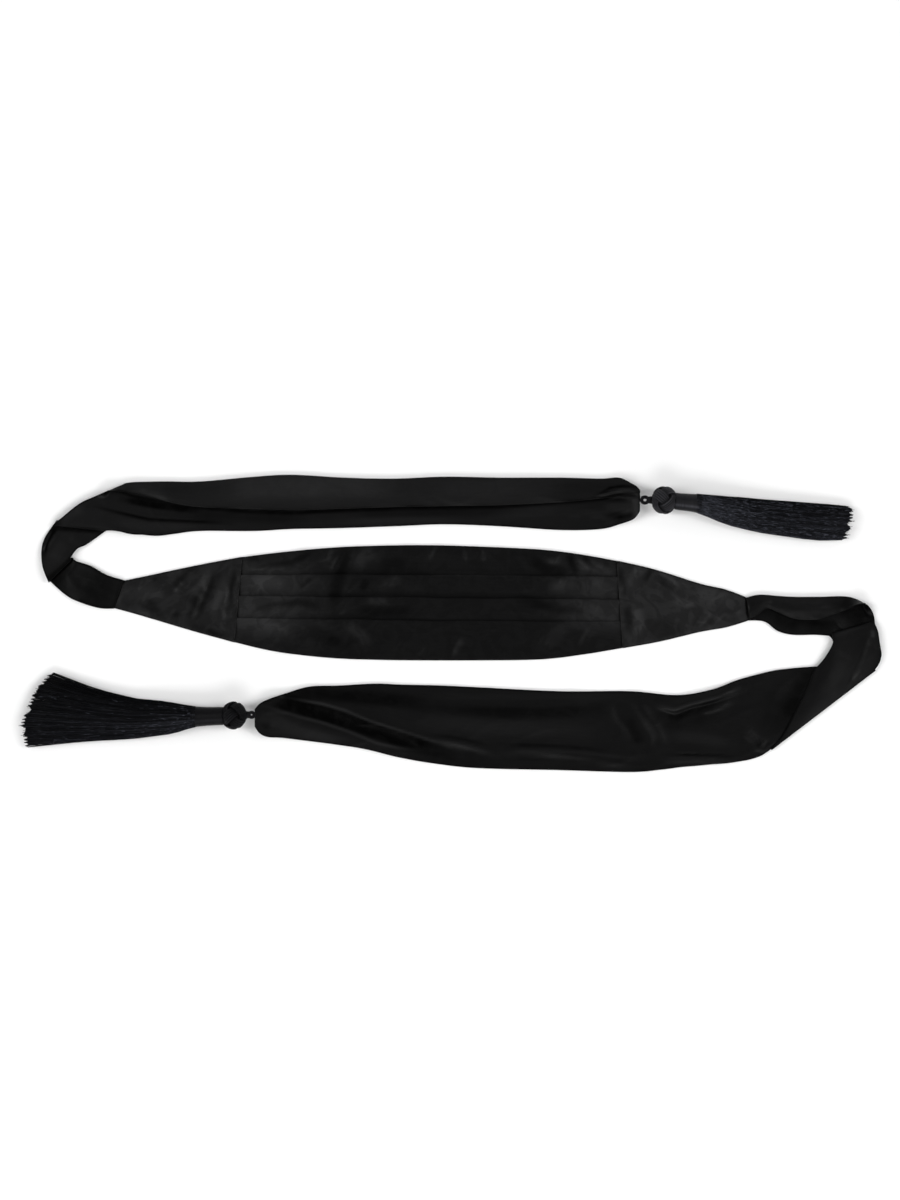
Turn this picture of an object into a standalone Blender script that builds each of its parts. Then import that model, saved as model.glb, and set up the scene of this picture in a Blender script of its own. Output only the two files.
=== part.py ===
"""A black satin cummerbund sash laid out flat: a pleated front, two side panels and two long
ties turned back round, each ending in a cord loop, a plaited ball knot and a tassel.

The cloth lies on z = 0 and is seen from above. X runs along the sash, Y up its height.
Tables and sizes are in millimetres, and MM turns them into Blender's metres.
"""

import math
from collections import namedtuple

import bmesh
import bpy
from mathutils import Vector

MM = 0.001

# Cloth
PANEL_WALL = 2.2
PLEAT_WALL = 1.0
TIE_WALL = 1.8
LAYER_GAP = 0.4
GROUND_GAP = 0.1
SEAM_GAP = 0.3
TURN_STEPS = 4
SHARP_CLOTH = math.radians(40)
SHARP_LOCK = math.radians(35)

# The longest step between two sections of each piece of cloth
FRONT_STEP = 34
PANEL_STEP = 28
START_STEP = 16
LEFT_TURN_STEP = 14
LEFT_RUN_STEP = 30
RIGHT_TURN_STEP = 16
RIGHT_RUN_STEP = 26

# Knife pleats of the front
PLEAT_DEPTH = 9.0
PLEAT_REST = 3.0
PLEAT_FALL = 8.0

# Ties
ROLL_RADIUS = 1.3
RIDGE_FADE_ROWS = 3
RIDGE_END_SHARE = 0.12
TURN_SETTLE_ROWS = 3
RUN_SETTLE_ROWS = 4
GROUND_COLUMNS = 8
FLAP_COLUMNS = 3

# Trimmings
LOOP_CORD = 2.2
LOOP_POINTS = 16
KNOT_RADIUS = 14.5
KNOT_RELIEF = 1.3
KNOT_SINK = 0.4
KNOT_BANDS = 4
KNOT_CORDS = 5
KNOT_SEGMENTS = 32
KNOT_RINGS = 18
LOCKS_WIDE = 10
LOCKS_HIGH = 5
LOCK_SECTIONS = 3
LOCK_SHARE = 0.86
LOCK_TIP_SHARE = 0.55
LOCK_GAP = 0.02
TIP_RATE = 12.9898
TIP_START = 4.1

Ruling = namedtuple("Ruling", "top_x top_y bottom_x bottom_y")
Pleat = namedtuple("Pleat", "left_y middle_y right_y")
Row = namedtuple("Row", "outer_x outer_y inner_x inner_y lift bend flap wall", defaults=[TIE_WALL])
Fold = namedtuple("Fold", "start_x start_y end_x end_y height spread")
Skirt = namedtuple("Skirt", "top_x top_y bottom_x bottom_y low high")
Profile = namedtuple("Profile", "share height")
NeckRing = namedtuple("NeckRing", "place width")
Finish = namedtuple("Finish", "colour roughness sheen")

FINISHES = {
    "panel_satin": Finish((0.018, 0.018, 0.019), 0.34, 0.1),
    "pleat_satin": Finish((0.014, 0.014, 0.015), 0.36, 0.1),
    "tie_satin": Finish((0.009, 0.009, 0.010), 0.42, 0.1),
    "cord": Finish((0.008, 0.008, 0.010), 0.55, 0.2),
    "tassel_thread": Finish((0.007, 0.008, 0.011), 0.45, 0.3),
}

# How high a side panel's top lies across it, as a share of its wall.
PANEL_PROFILE = [
    Profile(0.0, 0.45),
    Profile(0.02, 0.85),
    Profile(0.1, 1.0),
    Profile(0.35, 1.12),
    Profile(0.65, 1.12),
    Profile(0.9, 1.0),
    Profile(0.98, 0.85),
    Profile(1.0, 0.45),
]

# Rings of a tassel's neck from the skirt back to the knot: place along it, and width.
NECK_RINGS = [
    NeckRing(0.6, 0.97),
    NeckRing(0.2, 1.0),
    NeckRing(0.0, 0.9),
]

# The panels' top and bottom edges, a row for each station from left to right.
LEFT_PANEL = [
    Ruling(-342, 44, -352, 16),
    Ruling(-318, 49, -330, 10),
    Ruling(-290, 55, -303, 2),
    Ruling(-256, 62, -266, -9),
    Ruling(-218, 69, -226, -20),
]
FRONT = [
    Ruling(-218, 69, -226, -20),
    Ruling(-178, 74, -182, -30),
    Ruling(-123, 79, -125, -36.5),
    Ruling(-74, 81, -74, -38.5),
    Ruling(-21, 81.5, -21, -39),
    Ruling(32, 80, 32, -39),
    Ruling(94, 77, 95, -38),
    Ruling(136, 72, 139, -33),
    Ruling(175, 65, 181, -26),
]
RIGHT_PANEL = [
    Ruling(175, 65, 181, -26),
    Ruling(214, 56, 220, -19),
    Ruling(262, 41, 262, -9),
    Ruling(288, 35, 290, -4),
    Ruling(310, 27, 313, 3),
]

# Height of each pleat's free edge on the front, which faces up.
PLEATS = [
    Pleat(51, 51, 49),
    Pleat(29, 27, 25),
    Pleat(6, 3, 2),
]

# The left tie, from its seam to its cord: the outside of the turn, the inside, how far the
# cloth stands off the ground, how far its outer edge is folded over, and how thick it lies
# where it is bunched.
LEFT_TIE_START = [
    Row(-352.8, 16, -342.8, 44, 0.0, 0, 4, 3.0),
    Row(-368, 17, -360, 49, 0.0, 0, 4, 3.6),
    Row(-388, 23, -378, 59, 0.0, 0, 4, 3.6),
    Row(-403, 30, -392, 64, 0.0, 0, 4, 2.6),
    Row(-421, 48, -396, 68, 0.0, 0, 4),
]
LEFT_TIE_TURN = [
    Row(-421, 44, -398, 66, 0.0, 0, 4),
    Row(-427, 60, -397, 70, 0.0, 0, 4),
    Row(-428, 78, -391, 78, 0.0, 0, 4),
    Row(-424, 91, -381, 83, 0.0, 0, 4),
    Row(-413, 107, -360, 98, 0.0, 0, 4),
]
LEFT_TIE_RUN = [
    Row(-417, 103, -362, 97, 0.0, 0, 4),
    Row(-407, 110, -355, 97, 0.6, 0, 4),
    Row(-388, 125, -346, 96, 0.6, 0, 4),
    Row(-371, 133, -338, 94, 0.4, 10, 4),
    Row(-362, 137, -330, 93, 0.3, 60, 4),
    Row(-354, 141, -323, 93, 0.2, 120, 4),
    Row(-345, 145, -314, 92, 0.0, 165, 7),
    Row(-335, 148, -304, 92, 0.0, 175, 11),
    Row(-299, 149, -289, 94, 0.0, 180, 20),
    Row(-262, 149, -262, 97, 0.0, 180, 25),
    Row(-205, 154, -205, 97, 0.0, 180, 32),
    Row(-166, 156, -168, 99, 0.0, 180, 35),
    Row(-110, 153, -116, 100, 0.0, 180, 31),
    Row(-58, 152, -58, 102, 0.0, 180, 28),
    Row(-5, 154, -5, 104, 0.0, 180, 29),
    Row(52, 153, 52, 102, 0.0, 180, 27),
    Row(116, 153, 116, 98, 0.0, 180, 24),
    Row(158, 152, 158, 99, 0.0, 180, 19),
    Row(177, 153, 178, 104, 1.5, 180, 19),
    Row(189, 147.5, 191, 108.5, 5.0, 180, 12),
    Row(195.5, 143.5, 196, 113, 7.5, 180, 9),
    Row(198.7, 139.5, 198.7, 117.5, 8.5, 180, 6),
]

# The right tie, in the same way: it turns down, passes over its own end and folds under.
RIGHT_TIE_START = [
    Row(310.8, 27, 313.8, 3, 0.0, 180, 20),
    Row(322, 30, 323, 3, 0.0, 180, 19),
    Row(333, 30, 332, 1, 0.0, 180, 12),
    Row(343, 29, 344, -8, 0.0, 180, 15),
    Row(362, 28, 360, -12, 0.0, 180, 21),
    Row(388, 28, 383, -12, 0.0, 180, 22),
    Row(418, 28, 397, -13, 0.4, 170, 16),
    Row(436, 20, 399, -14, 0.2, 80, 6),
    Row(444, 9, 400.5, -15.5, 0.0, 10, 4),
    Row(446, -5, 402, -17.5, 0.0, 0, 4),
]
RIGHT_TIE_TURN = [
    Row(444, 1, 401, -12, 0.0, 0, 4),
    Row(448, -8, 402, -18, 0.2, 0, 4),
    Row(450, -20, 400, -25, 0.3, 0, 4),
    Row(452, -32, 392, -38, 0.2, 0, 4),
    Row(451.5, -37, 382, -50, 0.0, 0, 4),
    Row(450.5, -41, 375, -68, 0.0, 0, 4),
    Row(449, -44, 363, -92, 0.0, 0, 4),
    Row(447.5, -46.5, 349, -118, 0.0, 0, 4),
    Row(445.5, -49, 337, -132, 0.0, 0, 4),
]
RIGHT_TIE_RUN = [
    Row(445.5, -49, 337, -132, 0.0, 0, 4),
    Row(425, -47, 327, -139, 0.0, 0, 4),
    Row(402, -46, 315, -143, 0.0, 0, 4),
    Row(382, -46, 304, -145, 0.0, 0, 4),
    Row(357, -48, 290, -147, 0.0, 0, 4),
    Row(336, -51, 275, -148, 0.0, 0, 4),
    Row(302, -60, 260, -149.5, 0.0, 0, 4),
    Row(275, -70, 242, -151, 0.0, 0, 4),
    Row(238, -76, 222, -153.5, 0.0, 0, 4),
    Row(189, -72, 189, -156, 0.0, 0, 4),
    Row(116, -72, 116, -154, 0.0, 0, 4),
    Row(32, -68, 32, -152, 0.0, 0, 4),
    Row(-10, -66, -10, -148, 0.0, 0, 4),
    Row(-52, -65, -52, -141, 0.0, 0, 4),
    Row(-79, -64, -89, -132, 0.0, 0, 4),
    Row(-116, -66, -121, -127, 0.3, 0, 4),
    Row(-147, -67, -152, -123, 1.0, 0, 4),
    Row(-172, -74, -176, -120, 2.5, 0, 4),
    Row(-190, -80, -191, -119, 5.5, 0, 4),
    Row(-199, -84.5, -199.5, -115, 7.5, 0, 4),
    Row(-204.4, -90.5, -204.4, -108, 8.5, 0, 4),
]

# The right tie folds under along a slant, whose outside faces this way.
SLANT_OUTWARD = Vector((3, -4))

# Soft ridges across and along the ties.
LEFT_TIE_FOLDS = [
    Fold(-398, 40, -372, 50, 2.0, 9),
    Fold(-418, 62, -402, 88, 3.0, 8),
    Fold(-404, 108, -352, 104, 2.5, 7),
    Fold(-352, 112, -240, 107, 2.4, 7),
]
RIGHT_TIE_FOLDS = [
    Fold(178, -91, 300, -74, 4.5, 8),
    Fold(-30, -113, -178, -84, 4.0, 8),
    Fold(-30, -138, -190, -96, 4.5, 7),
    Fold(-20, -90, 158, -101, 2.5, 10),
    Fold(230, -139, 300, -139, 2.5, 8),
    Fold(10, -130, 60, -138, 2.0, 9),
]

# The tassels, from the knot outwards: two rows of the neck, then the skirt.
RIGHT_TASSEL = [
    Skirt(238.5, 136.5, 238.5, 118.5, 5.5, 22.5),
    Skirt(260, 135, 260, 115, 2.5, 21.5),
    Skirt(299, 132, 291, 102.5, 0.2, 18.0),
    Skirt(337, 129, 331, 94, 0.1, 15.0),
    Skirt(394, 125, 388, 86.5, 0.1, 12.0),
    Skirt(424, 122.5, 418, 87, 0.1, 10.0),
]
LEFT_TASSEL = [
    Skirt(-240.2, -87.5, -240.2, -106.5, 5.5, 22.5),
    Skirt(-269, -87, -269, -109, 1.5, 21.5),
    Skirt(-300, -82, -291, -116, 0.2, 18.0),
    Skirt(-336, -79, -336, -121, 0.1, 15.0),
    Skirt(-380, -69, -394, -124, 0.1, 12.0),
    Skirt(-429, -52, -455, -130, 0.1, 10.0),
]
TASSEL_WAIST = 1
TIP_SPREAD = 0.2

# Centres of the knots and of the loops, which lean up from the ties' ends.
RIGHT_KNOT = Vector((223.6, 128.5, KNOT_RADIUS - KNOT_SINK))
LEFT_KNOT = Vector((-225.3, -96.5, KNOT_RADIUS - KNOT_SINK))
RIGHT_LOOP = Vector((203.75, 128.7, 12.4))
RIGHT_LOOP_REACH = (3.9, 3.7)
LEFT_LOOP = Vector((-207.6, -95.9, 11.2))
LEFT_LOOP_REACH = (2.15, 3.0)
LOOP_LEAN = math.radians(20)


def clear_scene():
    for item in list(bpy.data.objects):
        bpy.data.objects.remove(item, do_unlink=True)


def make_material(name):
    finish = FINISHES[name]
    material = bpy.data.materials.new(name)
    material.use_nodes = True
    shader = material.node_tree.nodes["Principled BSDF"]
    shader.inputs["Base Color"].default_value = (*finish.colour, 1.0)
    shader.inputs["Roughness"].default_value = finish.roughness
    shader.inputs["Metallic"].default_value = 0.0
    shader.inputs["Sheen Weight"].default_value = finish.sheen
    material.diffuse_color = (*finish.colour, 1.0)
    return material


def add_object(name, mesh, material, collection):
    piece = bpy.data.objects.new(name, mesh)
    collection.objects.link(piece)
    mesh.materials.append(material)
    return piece


def mesh_of(bm, name):
    mesh = bpy.data.meshes.new(name)
    bm.to_mesh(mesh)
    bm.free()
    return mesh


def cloth(name, rows, walls, material, collection):
    """An open sheet through rows of points, given each row's thickness evenly to both sides."""
    bm = bmesh.new()
    sheet = [[bm.verts.new(point * MM) for point in row] for row in rows]
    for here, after in zip(sheet, sheet[1:]):
        for column in range(len(here) - 1):
            bm.faces.new((here[column], after[column], after[column + 1], here[column + 1]))
    piece = add_object(name, mesh_of(bm, name), material, collection)
    thickest = max(walls)
    columns = len(rows[0])
    share_group = piece.vertex_groups.new(name="wall")
    for index, wall in enumerate(walls):
        row = list(range(index * columns, (index + 1) * columns))
        share_group.add(row, wall / thickest, "REPLACE")
    thicken = piece.modifiers.new("thickness", "SOLIDIFY")
    thicken.thickness = thickest * MM
    thicken.vertex_group = share_group.name
    thicken.offset = 0.0
    thicken.use_even_offset = True
    piece.data.shade_smooth()
    piece.data.set_sharp_from_angle(angle=SHARP_CLOTH)
    return piece


def smooth_between(before, start, end, after, share):
    """A point on the curve from start to end, bent towards the values on both sides."""
    return 0.5 * (
        2 * start
        + (end - before) * share
        + (2 * before - 5 * start + 4 * end - after) * share**2
        + (3 * start - before - 3 * end + after) * share**3
    )


def smooth_rows(rows, longest):
    """More rows between the given ones, so that none is further than longest from the next."""
    kind = type(rows[0])
    result = []
    for index in range(len(rows) - 1):
        around = (
            rows[max(index - 1, 0)],
            rows[index],
            rows[index + 1],
            rows[min(index + 2, len(rows) - 1)],
        )
        first_edge = math.hypot(around[2][0] - around[1][0], around[2][1] - around[1][1])
        second_edge = math.hypot(around[2][2] - around[1][2], around[2][3] - around[1][3])
        steps = max(1, round(max(first_edge, second_edge) / longest))
        for step in range(steps):
            share = step / steps
            result.append(kind(*(smooth_between(*values, share) for values in zip(*around))))
    result.append(rows[-1])
    return result


def half_turn(centre, radius, start, towards):
    """Points of a half circle in a flat section, from below or above, bulging towards +1 or -1."""
    points = []
    for step in range(TURN_STEPS + 1):
        angle = math.pi * step / TURN_STEPS
        across = centre[0] + towards * radius * math.sin(angle)
        height = centre[1] + start * radius * math.cos(angle)
        points.append((across, height))
    return points


def pleated_section(top, pleats, bottom):
    """The front's cloth from its top edge to its bottom edge, as (y, z) through each pleat."""
    radius = (PLEAT_WALL + LAYER_GAP) / 2
    ground = PLEAT_WALL / 2
    crest = ground + 4 * radius
    section = [(top, ground)]
    for edge in pleats:
        turn_under = edge - PLEAT_DEPTH
        turn_over = edge - radius - PLEAT_WALL / 2
        section += half_turn((turn_under, ground + radius), radius, -1, -1)
        section += half_turn((turn_over, ground + 3 * radius), radius, -1, 1)
        section.append((turn_under - PLEAT_REST, crest))
        section.append((turn_under - PLEAT_REST - PLEAT_FALL / 2, (crest + ground) / 2))
        section.append((turn_under - PLEAT_REST - PLEAT_FALL, ground))
    section.append((bottom, ground))
    return section


def pleat_height(pleat, x):
    """A pleat's free edge is a shallow bow through three heights."""
    left, right = FRONT[0].top_x, FRONT[-1].top_x
    share = (x - left) / (right - left)
    bow = pleat.middle_y - (pleat.left_y + pleat.right_y) / 2
    return pleat.left_y + (pleat.right_y - pleat.left_y) * share + 4 * bow * share * (1 - share)


def make_front(material, collection):
    rows = []
    for ruling in smooth_rows(FRONT, FRONT_STEP):
        rise = ruling.top_y - ruling.bottom_y
        edges = [pleat_height(pleat, ruling.top_x) for pleat in PLEATS]
        row = []
        for y, z in pleated_section(ruling.top_y, edges, ruling.bottom_y):
            share = (y - ruling.bottom_y) / rise
            row.append(Vector((ruling.bottom_x + (ruling.top_x - ruling.bottom_x) * share, y, z)))
        rows.append(row)
    return cloth("front_panel", rows, [PLEAT_WALL] * len(rows), material, collection)


def make_side_panel(name, rulings, seam_shift, material, collection):
    """A plain panel: a flat underside, and a top that rounds down to its edges."""
    bm = bmesh.new()
    rings = []
    for ruling in smooth_rows(rulings, PANEL_STEP):
        low = Vector((ruling.bottom_x + seam_shift, ruling.bottom_y, 0))
        high = Vector((ruling.top_x + seam_shift, ruling.top_y, 0))
        upper = [
            low.lerp(high, point.share) + Vector((0, 0, PANEL_WALL * point.height))
            for point in PANEL_PROFILE
        ]
        lower = [low.lerp(high, point.share) for point in reversed(PANEL_PROFILE[1:-1])]
        rings.append([bm.verts.new(point * MM) for point in upper + lower])
    for here, after in zip(rings, rings[1:]):
        for index in range(len(here)):
            following = (index + 1) % len(here)
            bm.faces.new((here[index], after[index], after[following], here[following]))
    bm.faces.new(rings[0])
    bm.faces.new(reversed(rings[-1]))
    bmesh.ops.recalc_face_normals(bm, faces=bm.faces)
    piece = add_object(name, mesh_of(bm, name), material, collection)
    piece.data.shade_smooth()
    piece.data.set_sharp_from_angle(angle=SHARP_CLOTH)
    return piece


def ridge_height(x, y, folds):
    """How far the soft ridges lift the cloth at one place."""
    height = 0.0
    for fold in folds:
        along = Vector((fold.end_x - fold.start_x, fold.end_y - fold.start_y))
        offset = Vector((x - fold.start_x, y - fold.start_y))
        share = min(max(offset.dot(along) / along.length_squared, 0.0), 1.0)
        distance = (offset - along * share).length
        fade = math.sin(math.pi * (RIDGE_END_SHARE + (1 - 2 * RIDGE_END_SHARE) * share))
        height += fold.height * fade * math.exp(-((distance / fold.spread) ** 2))
    return height


def tie_section(row, ground, folds, fade):
    """Points across a tie from its inner to its outer edge, with that edge folded over."""
    inner = Vector((row.inner_x, row.inner_y))
    outer = Vector((row.outer_x, row.outer_y))
    width = (outer - inner).length
    across = (outer - inner) / width
    bend = math.radians(max(row.bend, 0.0))
    roll_length = math.pi * ROLL_RADIUS
    flap = [(0.0, 0.0)]
    for step in range(TURN_STEPS):
        heading = bend * (step + 0.5) / TURN_STEPS
        length = roll_length / TURN_STEPS
        last = flap[-1]
        flap.append((last[0] + length * math.cos(heading), last[1] + length * math.sin(heading)))
    for step in range(FLAP_COLUMNS):
        length = row.flap / FLAP_COLUMNS
        last = flap[-1]
        flap.append((last[0] + length * math.cos(bend), last[1] + length * math.sin(bend)))
    reach = max(point[0] for point in flap) + TIE_WALL / 2 * math.sin(bend / 2)
    hinge = width - reach
    points = []
    for column in range(GROUND_COLUMNS):
        place = inner + across * hinge * column / GROUND_COLUMNS
        points.append((place, 0.0))
    for distance, height in flap:
        points.append((inner + across * (hinge + distance), height))
    section = []
    for place, height in points:
        ridge = fade * ridge_height(place.x, place.y, folds)
        lift = row.lift + (row.wall - TIE_WALL) / 2 + ridge
        section.append(Vector((place.x, place.y, ground + height + lift)))
    return section


def turned_rows(row, forward_row, low, high, bulge):
    """Rows of a half turn about one section line, from the height low to the height high."""
    middle = (low + high) / 2
    radius = abs(high - low) / 2
    start = -1 if high > low else 1
    outer_way = Vector((forward_row.outer_x - row.outer_x, forward_row.outer_y - row.outer_y))
    inner_way = Vector((forward_row.inner_x - row.inner_x, forward_row.inner_y - row.inner_y))
    outer_way.normalize()
    inner_way.normalize()
    rows = []
    for shift, height in half_turn((0.0, middle), radius, start, bulge):
        moved = row._replace(
            outer_x=row.outer_x + outer_way.x * shift,
            outer_y=row.outer_y + outer_way.y * shift,
            inner_x=row.inner_x + inner_way.x * shift,
            inner_y=row.inner_y + inner_way.y * shift,
            lift=0.0,
        )
        rows.append(tie_section(moved, height, [], 0.0))
    return rows


def beyond(row, way):
    """The same section line, moved sideways by way."""
    return row._replace(
        outer_x=row.outer_x + way.x,
        outer_y=row.outer_y + way.y,
        inner_x=row.inner_x + way.x,
        inner_y=row.inner_y + way.y,
    )


def laid_rows(rows, start_level, end_level, folds, settle):
    """Sections of one stretch, whose level eases from one height to another by settle rows."""
    sections = []
    last = len(rows) - 1
    for index, row in enumerate(rows):
        share = min(index / settle, 1.0)
        ease = share * share * (3 - 2 * share)
        level = start_level + (end_level - start_level) * ease
        fade = min(index / RIDGE_FADE_ROWS, (last - index) / RIDGE_FADE_ROWS, 1.0)
        sections.append(tie_section(row, level, folds, fade))
    return sections


def layer_levels():
    """Heights of the middle of the first, second and third layer of a tie above the ground."""
    step = TIE_WALL + LAYER_GAP
    return [GROUND_GAP + TIE_WALL / 2 + step * layer for layer in range(3)]


def make_left_tie(material, collection):
    """Two tucks take up the inside of the turn: each stretch starts on top of the last one."""
    first, second, third = layer_levels()
    start = smooth_rows(LEFT_TIE_START, START_STEP)
    turn = smooth_rows(LEFT_TIE_TURN, LEFT_TURN_STEP)
    run = smooth_rows(LEFT_TIE_RUN, LEFT_RUN_STEP)
    sections = laid_rows(start, first, first, LEFT_TIE_FOLDS, 1)
    walls = [row.wall for row in start]
    sections += turned_rows(start[-1], turn[1], first, second, 1)
    sections += turned_rows(turn[0], turn[1], second, third, -1)
    sections += laid_rows(turn[1:], third, first, LEFT_TIE_FOLDS, TURN_SETTLE_ROWS)
    sections += turned_rows(turn[-1], run[2], first, second, 1)
    sections += turned_rows(run[0], run[1], second, third, -1)
    sections += laid_rows(run[1:], third, first, LEFT_TIE_FOLDS, RUN_SETTLE_ROWS)
    walls += [TIE_WALL] * (len(sections) - len(walls))
    return cloth("tie_left", sections, walls, material, collection)


def make_right_tie(material, collection):
    """One tuck at the top of the turn, and one fold along the slant, where it goes under."""
    first, second, third = layer_levels()
    start = smooth_rows(RIGHT_TIE_START, START_STEP)
    turn = smooth_rows(RIGHT_TIE_TURN, RIGHT_TURN_STEP)
    run = smooth_rows(RIGHT_TIE_RUN, RIGHT_RUN_STEP)
    sections = laid_rows(start, first, first, [], 1)
    sections += turned_rows(start[-1], turn[2], first, second, 1)
    sections += turned_rows(turn[0], turn[1], second, third, -1)
    sections += laid_rows(turn[1:-1], third, second, [], RUN_SETTLE_ROWS)
    sections += turned_rows(turn[-1], beyond(turn[-1], SLANT_OUTWARD), second, first, 1)
    sections += laid_rows(run[1:], first, first, RIGHT_TIE_FOLDS, 1)
    return cloth("tie_right", sections, [TIE_WALL] * len(sections), material, collection)


def make_knot(name, centre, heading, material, collection):
    """A ball plaited from bundles of thin cord that cross on the slant."""
    bm = bmesh.new()
    bmesh.ops.create_uvsphere(
        bm, u_segments=KNOT_SEGMENTS, v_segments=KNOT_RINGS, radius=1.0
    )
    for vertex in bm.verts:
        way = vertex.co.normalized()
        round_angle = math.atan2(way.y, way.x)
        rise = math.asin(max(-1.0, min(1.0, way.z)))
        rising = math.sin(KNOT_BANDS * round_angle + KNOT_CORDS * rise)
        falling = math.sin(KNOT_BANDS * round_angle - KNOT_CORDS * rise)
        relief = max(abs(rising), abs(falling)) - 1.0
        vertex.co = way * (KNOT_RADIUS + KNOT_RELIEF * relief * math.cos(rise)) * MM
    mesh = mesh_of(bm, name)
    mesh.shade_smooth()
    piece = add_object(name, mesh, material, collection)
    piece.location = centre * MM
    piece.rotation_euler = (0.0, math.pi / 2, heading)
    return piece


def make_loop(name, centre, reach, heading, material, collection):
    """A closed ring of cord, longer or wider by its reach, that leans up towards its knot."""
    length, width = reach
    curve = bpy.data.curves.new(name, "CURVE")
    curve.dimensions = "3D"
    curve.bevel_depth = LOOP_CORD / 2 * MM
    curve.bevel_resolution = 2
    spline = curve.splines.new("POLY")
    spline.points.add(LOOP_POINTS - 1)
    for index, point in enumerate(spline.points):
        angle = math.tau * index / LOOP_POINTS
        point.co = (length * math.cos(angle) * MM, width * math.sin(angle) * MM, 0.0, 1.0)
    spline.use_cyclic_u = True
    piece = bpy.data.objects.new(name, curve)
    collection.objects.link(piece)
    curve.materials.append(material)
    piece.location = centre * MM
    piece.rotation_euler = (0.0, -LOOP_LEAN, heading)
    return piece


def place_in_tassel(point, rows):
    """A point of the plain tassel, whose z counts rows, set into the real one's outline."""
    index = min(max(int(point.z), 0), len(rows) - 2)
    share = point.z - index
    before, after = rows[index], rows[index + 1]
    sides = [a + (b - a) * share for a, b in zip(before, after)]
    here = Skirt(*sides)
    width_share = (point.x + 1) / 2
    height_share = (point.y + 1) / 2
    x = here.bottom_x + (here.top_x - here.bottom_x) * width_share
    y = here.bottom_y + (here.top_y - here.bottom_y) * width_share
    return Vector((x, y, here.low + (here.high - here.low) * height_share))


def make_tassel(name, rows, material, collection):
    """A wound neck whose end face gives a separate lock of threads from each of its cells."""
    bm = bmesh.new()
    bmesh.ops.create_grid(bm, x_segments=LOCKS_WIDE, y_segments=LOCKS_HIGH, size=1.0)
    for vertex in bm.verts:
        x, y = vertex.co.x, vertex.co.y
        vertex.co.x = x * math.sqrt(1 - y * y / 2)
        vertex.co.y = y * math.sqrt(1 - x * x / 2)
        vertex.co.z = TASSEL_WAIST
    cells = list(bm.faces)
    rim = [edge for edge in bm.edges if edge.is_boundary]
    for neck_ring in NECK_RINGS:
        wall = bmesh.ops.extrude_edge_only(bm, edges=rim)["geom"]
        rim = [item for item in wall if isinstance(item, bmesh.types.BMEdge) and item.is_boundary]
        ring = {vertex for edge in rim for vertex in edge.verts}
        for vertex in ring:
            flat = Vector((vertex.co.x, vertex.co.y)).normalized() * neck_ring.width
            vertex.co = Vector((flat.x, flat.y, neck_ring.place * TASSEL_WAIST))
    bmesh.ops.contextual_create(bm, geom=rim)
    bmesh.ops.inset_individual(bm, faces=cells, thickness=LOCK_GAP)
    last = len(rows) - 1
    for cell_index, cell in enumerate(cells):
        middle = cell.calc_center_median()
        tip = 0.5 + 0.5 * math.sin(TIP_RATE * cell_index + TIP_START)
        face = cell
        kept = 1.0
        for section in range(1, LOCK_SECTIONS + 1):
            grown = bmesh.ops.extrude_discrete_faces(bm, faces=[face])["faces"][0]
            share = section / LOCK_SECTIONS
            keep = LOCK_SHARE + (LOCK_TIP_SHARE - LOCK_SHARE) * share
            reach = TASSEL_WAIST + (last - TASSEL_WAIST) * share
            if section == LOCK_SECTIONS:
                reach -= tip * TIP_SPREAD
            for vertex in grown.verts:
                offset = (vertex.co - middle) * (keep / kept)
                vertex.co = Vector((middle.x + offset.x, middle.y + offset.y, reach))
            face = grown
            kept = keep
    for vertex in bm.verts:
        vertex.co = place_in_tassel(vertex.co, rows) * MM
    bmesh.ops.recalc_face_normals(bm, faces=bm.faces)
    piece = add_object(name, mesh_of(bm, name), material, collection)
    piece.data.shade_smooth()
    piece.data.set_sharp_from_angle(angle=SHARP_LOCK)
    return piece


def build():
    clear_scene()
    sash = bpy.data.collections.new("cummerbund")
    bpy.context.scene.collection.children.link(sash)
    satin = make_material("panel_satin")
    pleat_satin = make_material("pleat_satin")
    tie_satin = make_material("tie_satin")
    cord = make_material("cord")
    thread = make_material("tassel_thread")

    make_front(pleat_satin, sash)
    make_side_panel("side_panel_left", LEFT_PANEL, -SEAM_GAP, satin, sash)
    make_side_panel("side_panel_right", RIGHT_PANEL, SEAM_GAP, satin, sash)
    make_left_tie(tie_satin, sash)
    make_right_tie(tie_satin, sash)
    make_loop("loop_left", LEFT_LOOP, LEFT_LOOP_REACH, math.pi, cord, sash)
    make_loop("loop_right", RIGHT_LOOP, RIGHT_LOOP_REACH, 0.0, cord, sash)
    make_knot("knot_left", LEFT_KNOT, math.pi, cord, sash)
    make_knot("knot_right", RIGHT_KNOT, math.radians(-6), cord, sash)
    make_tassel("tassel_left", LEFT_TASSEL, thread, sash)
    make_tassel("tassel_right", RIGHT_TASSEL, thread, sash)


build()
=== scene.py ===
"""The looks of a black satin cummerbund sash laid out flat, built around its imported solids.

The cloth lies on z = 0 and is seen from above. X runs along the sash, Y up its height.
Tables and sizes are in millimetres, as in the part's source, and MM turns them into metres.
"""

import math
from collections import namedtuple

import bmesh
import bpy
import numpy as np
from mathutils import Matrix, Vector, noise


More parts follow.
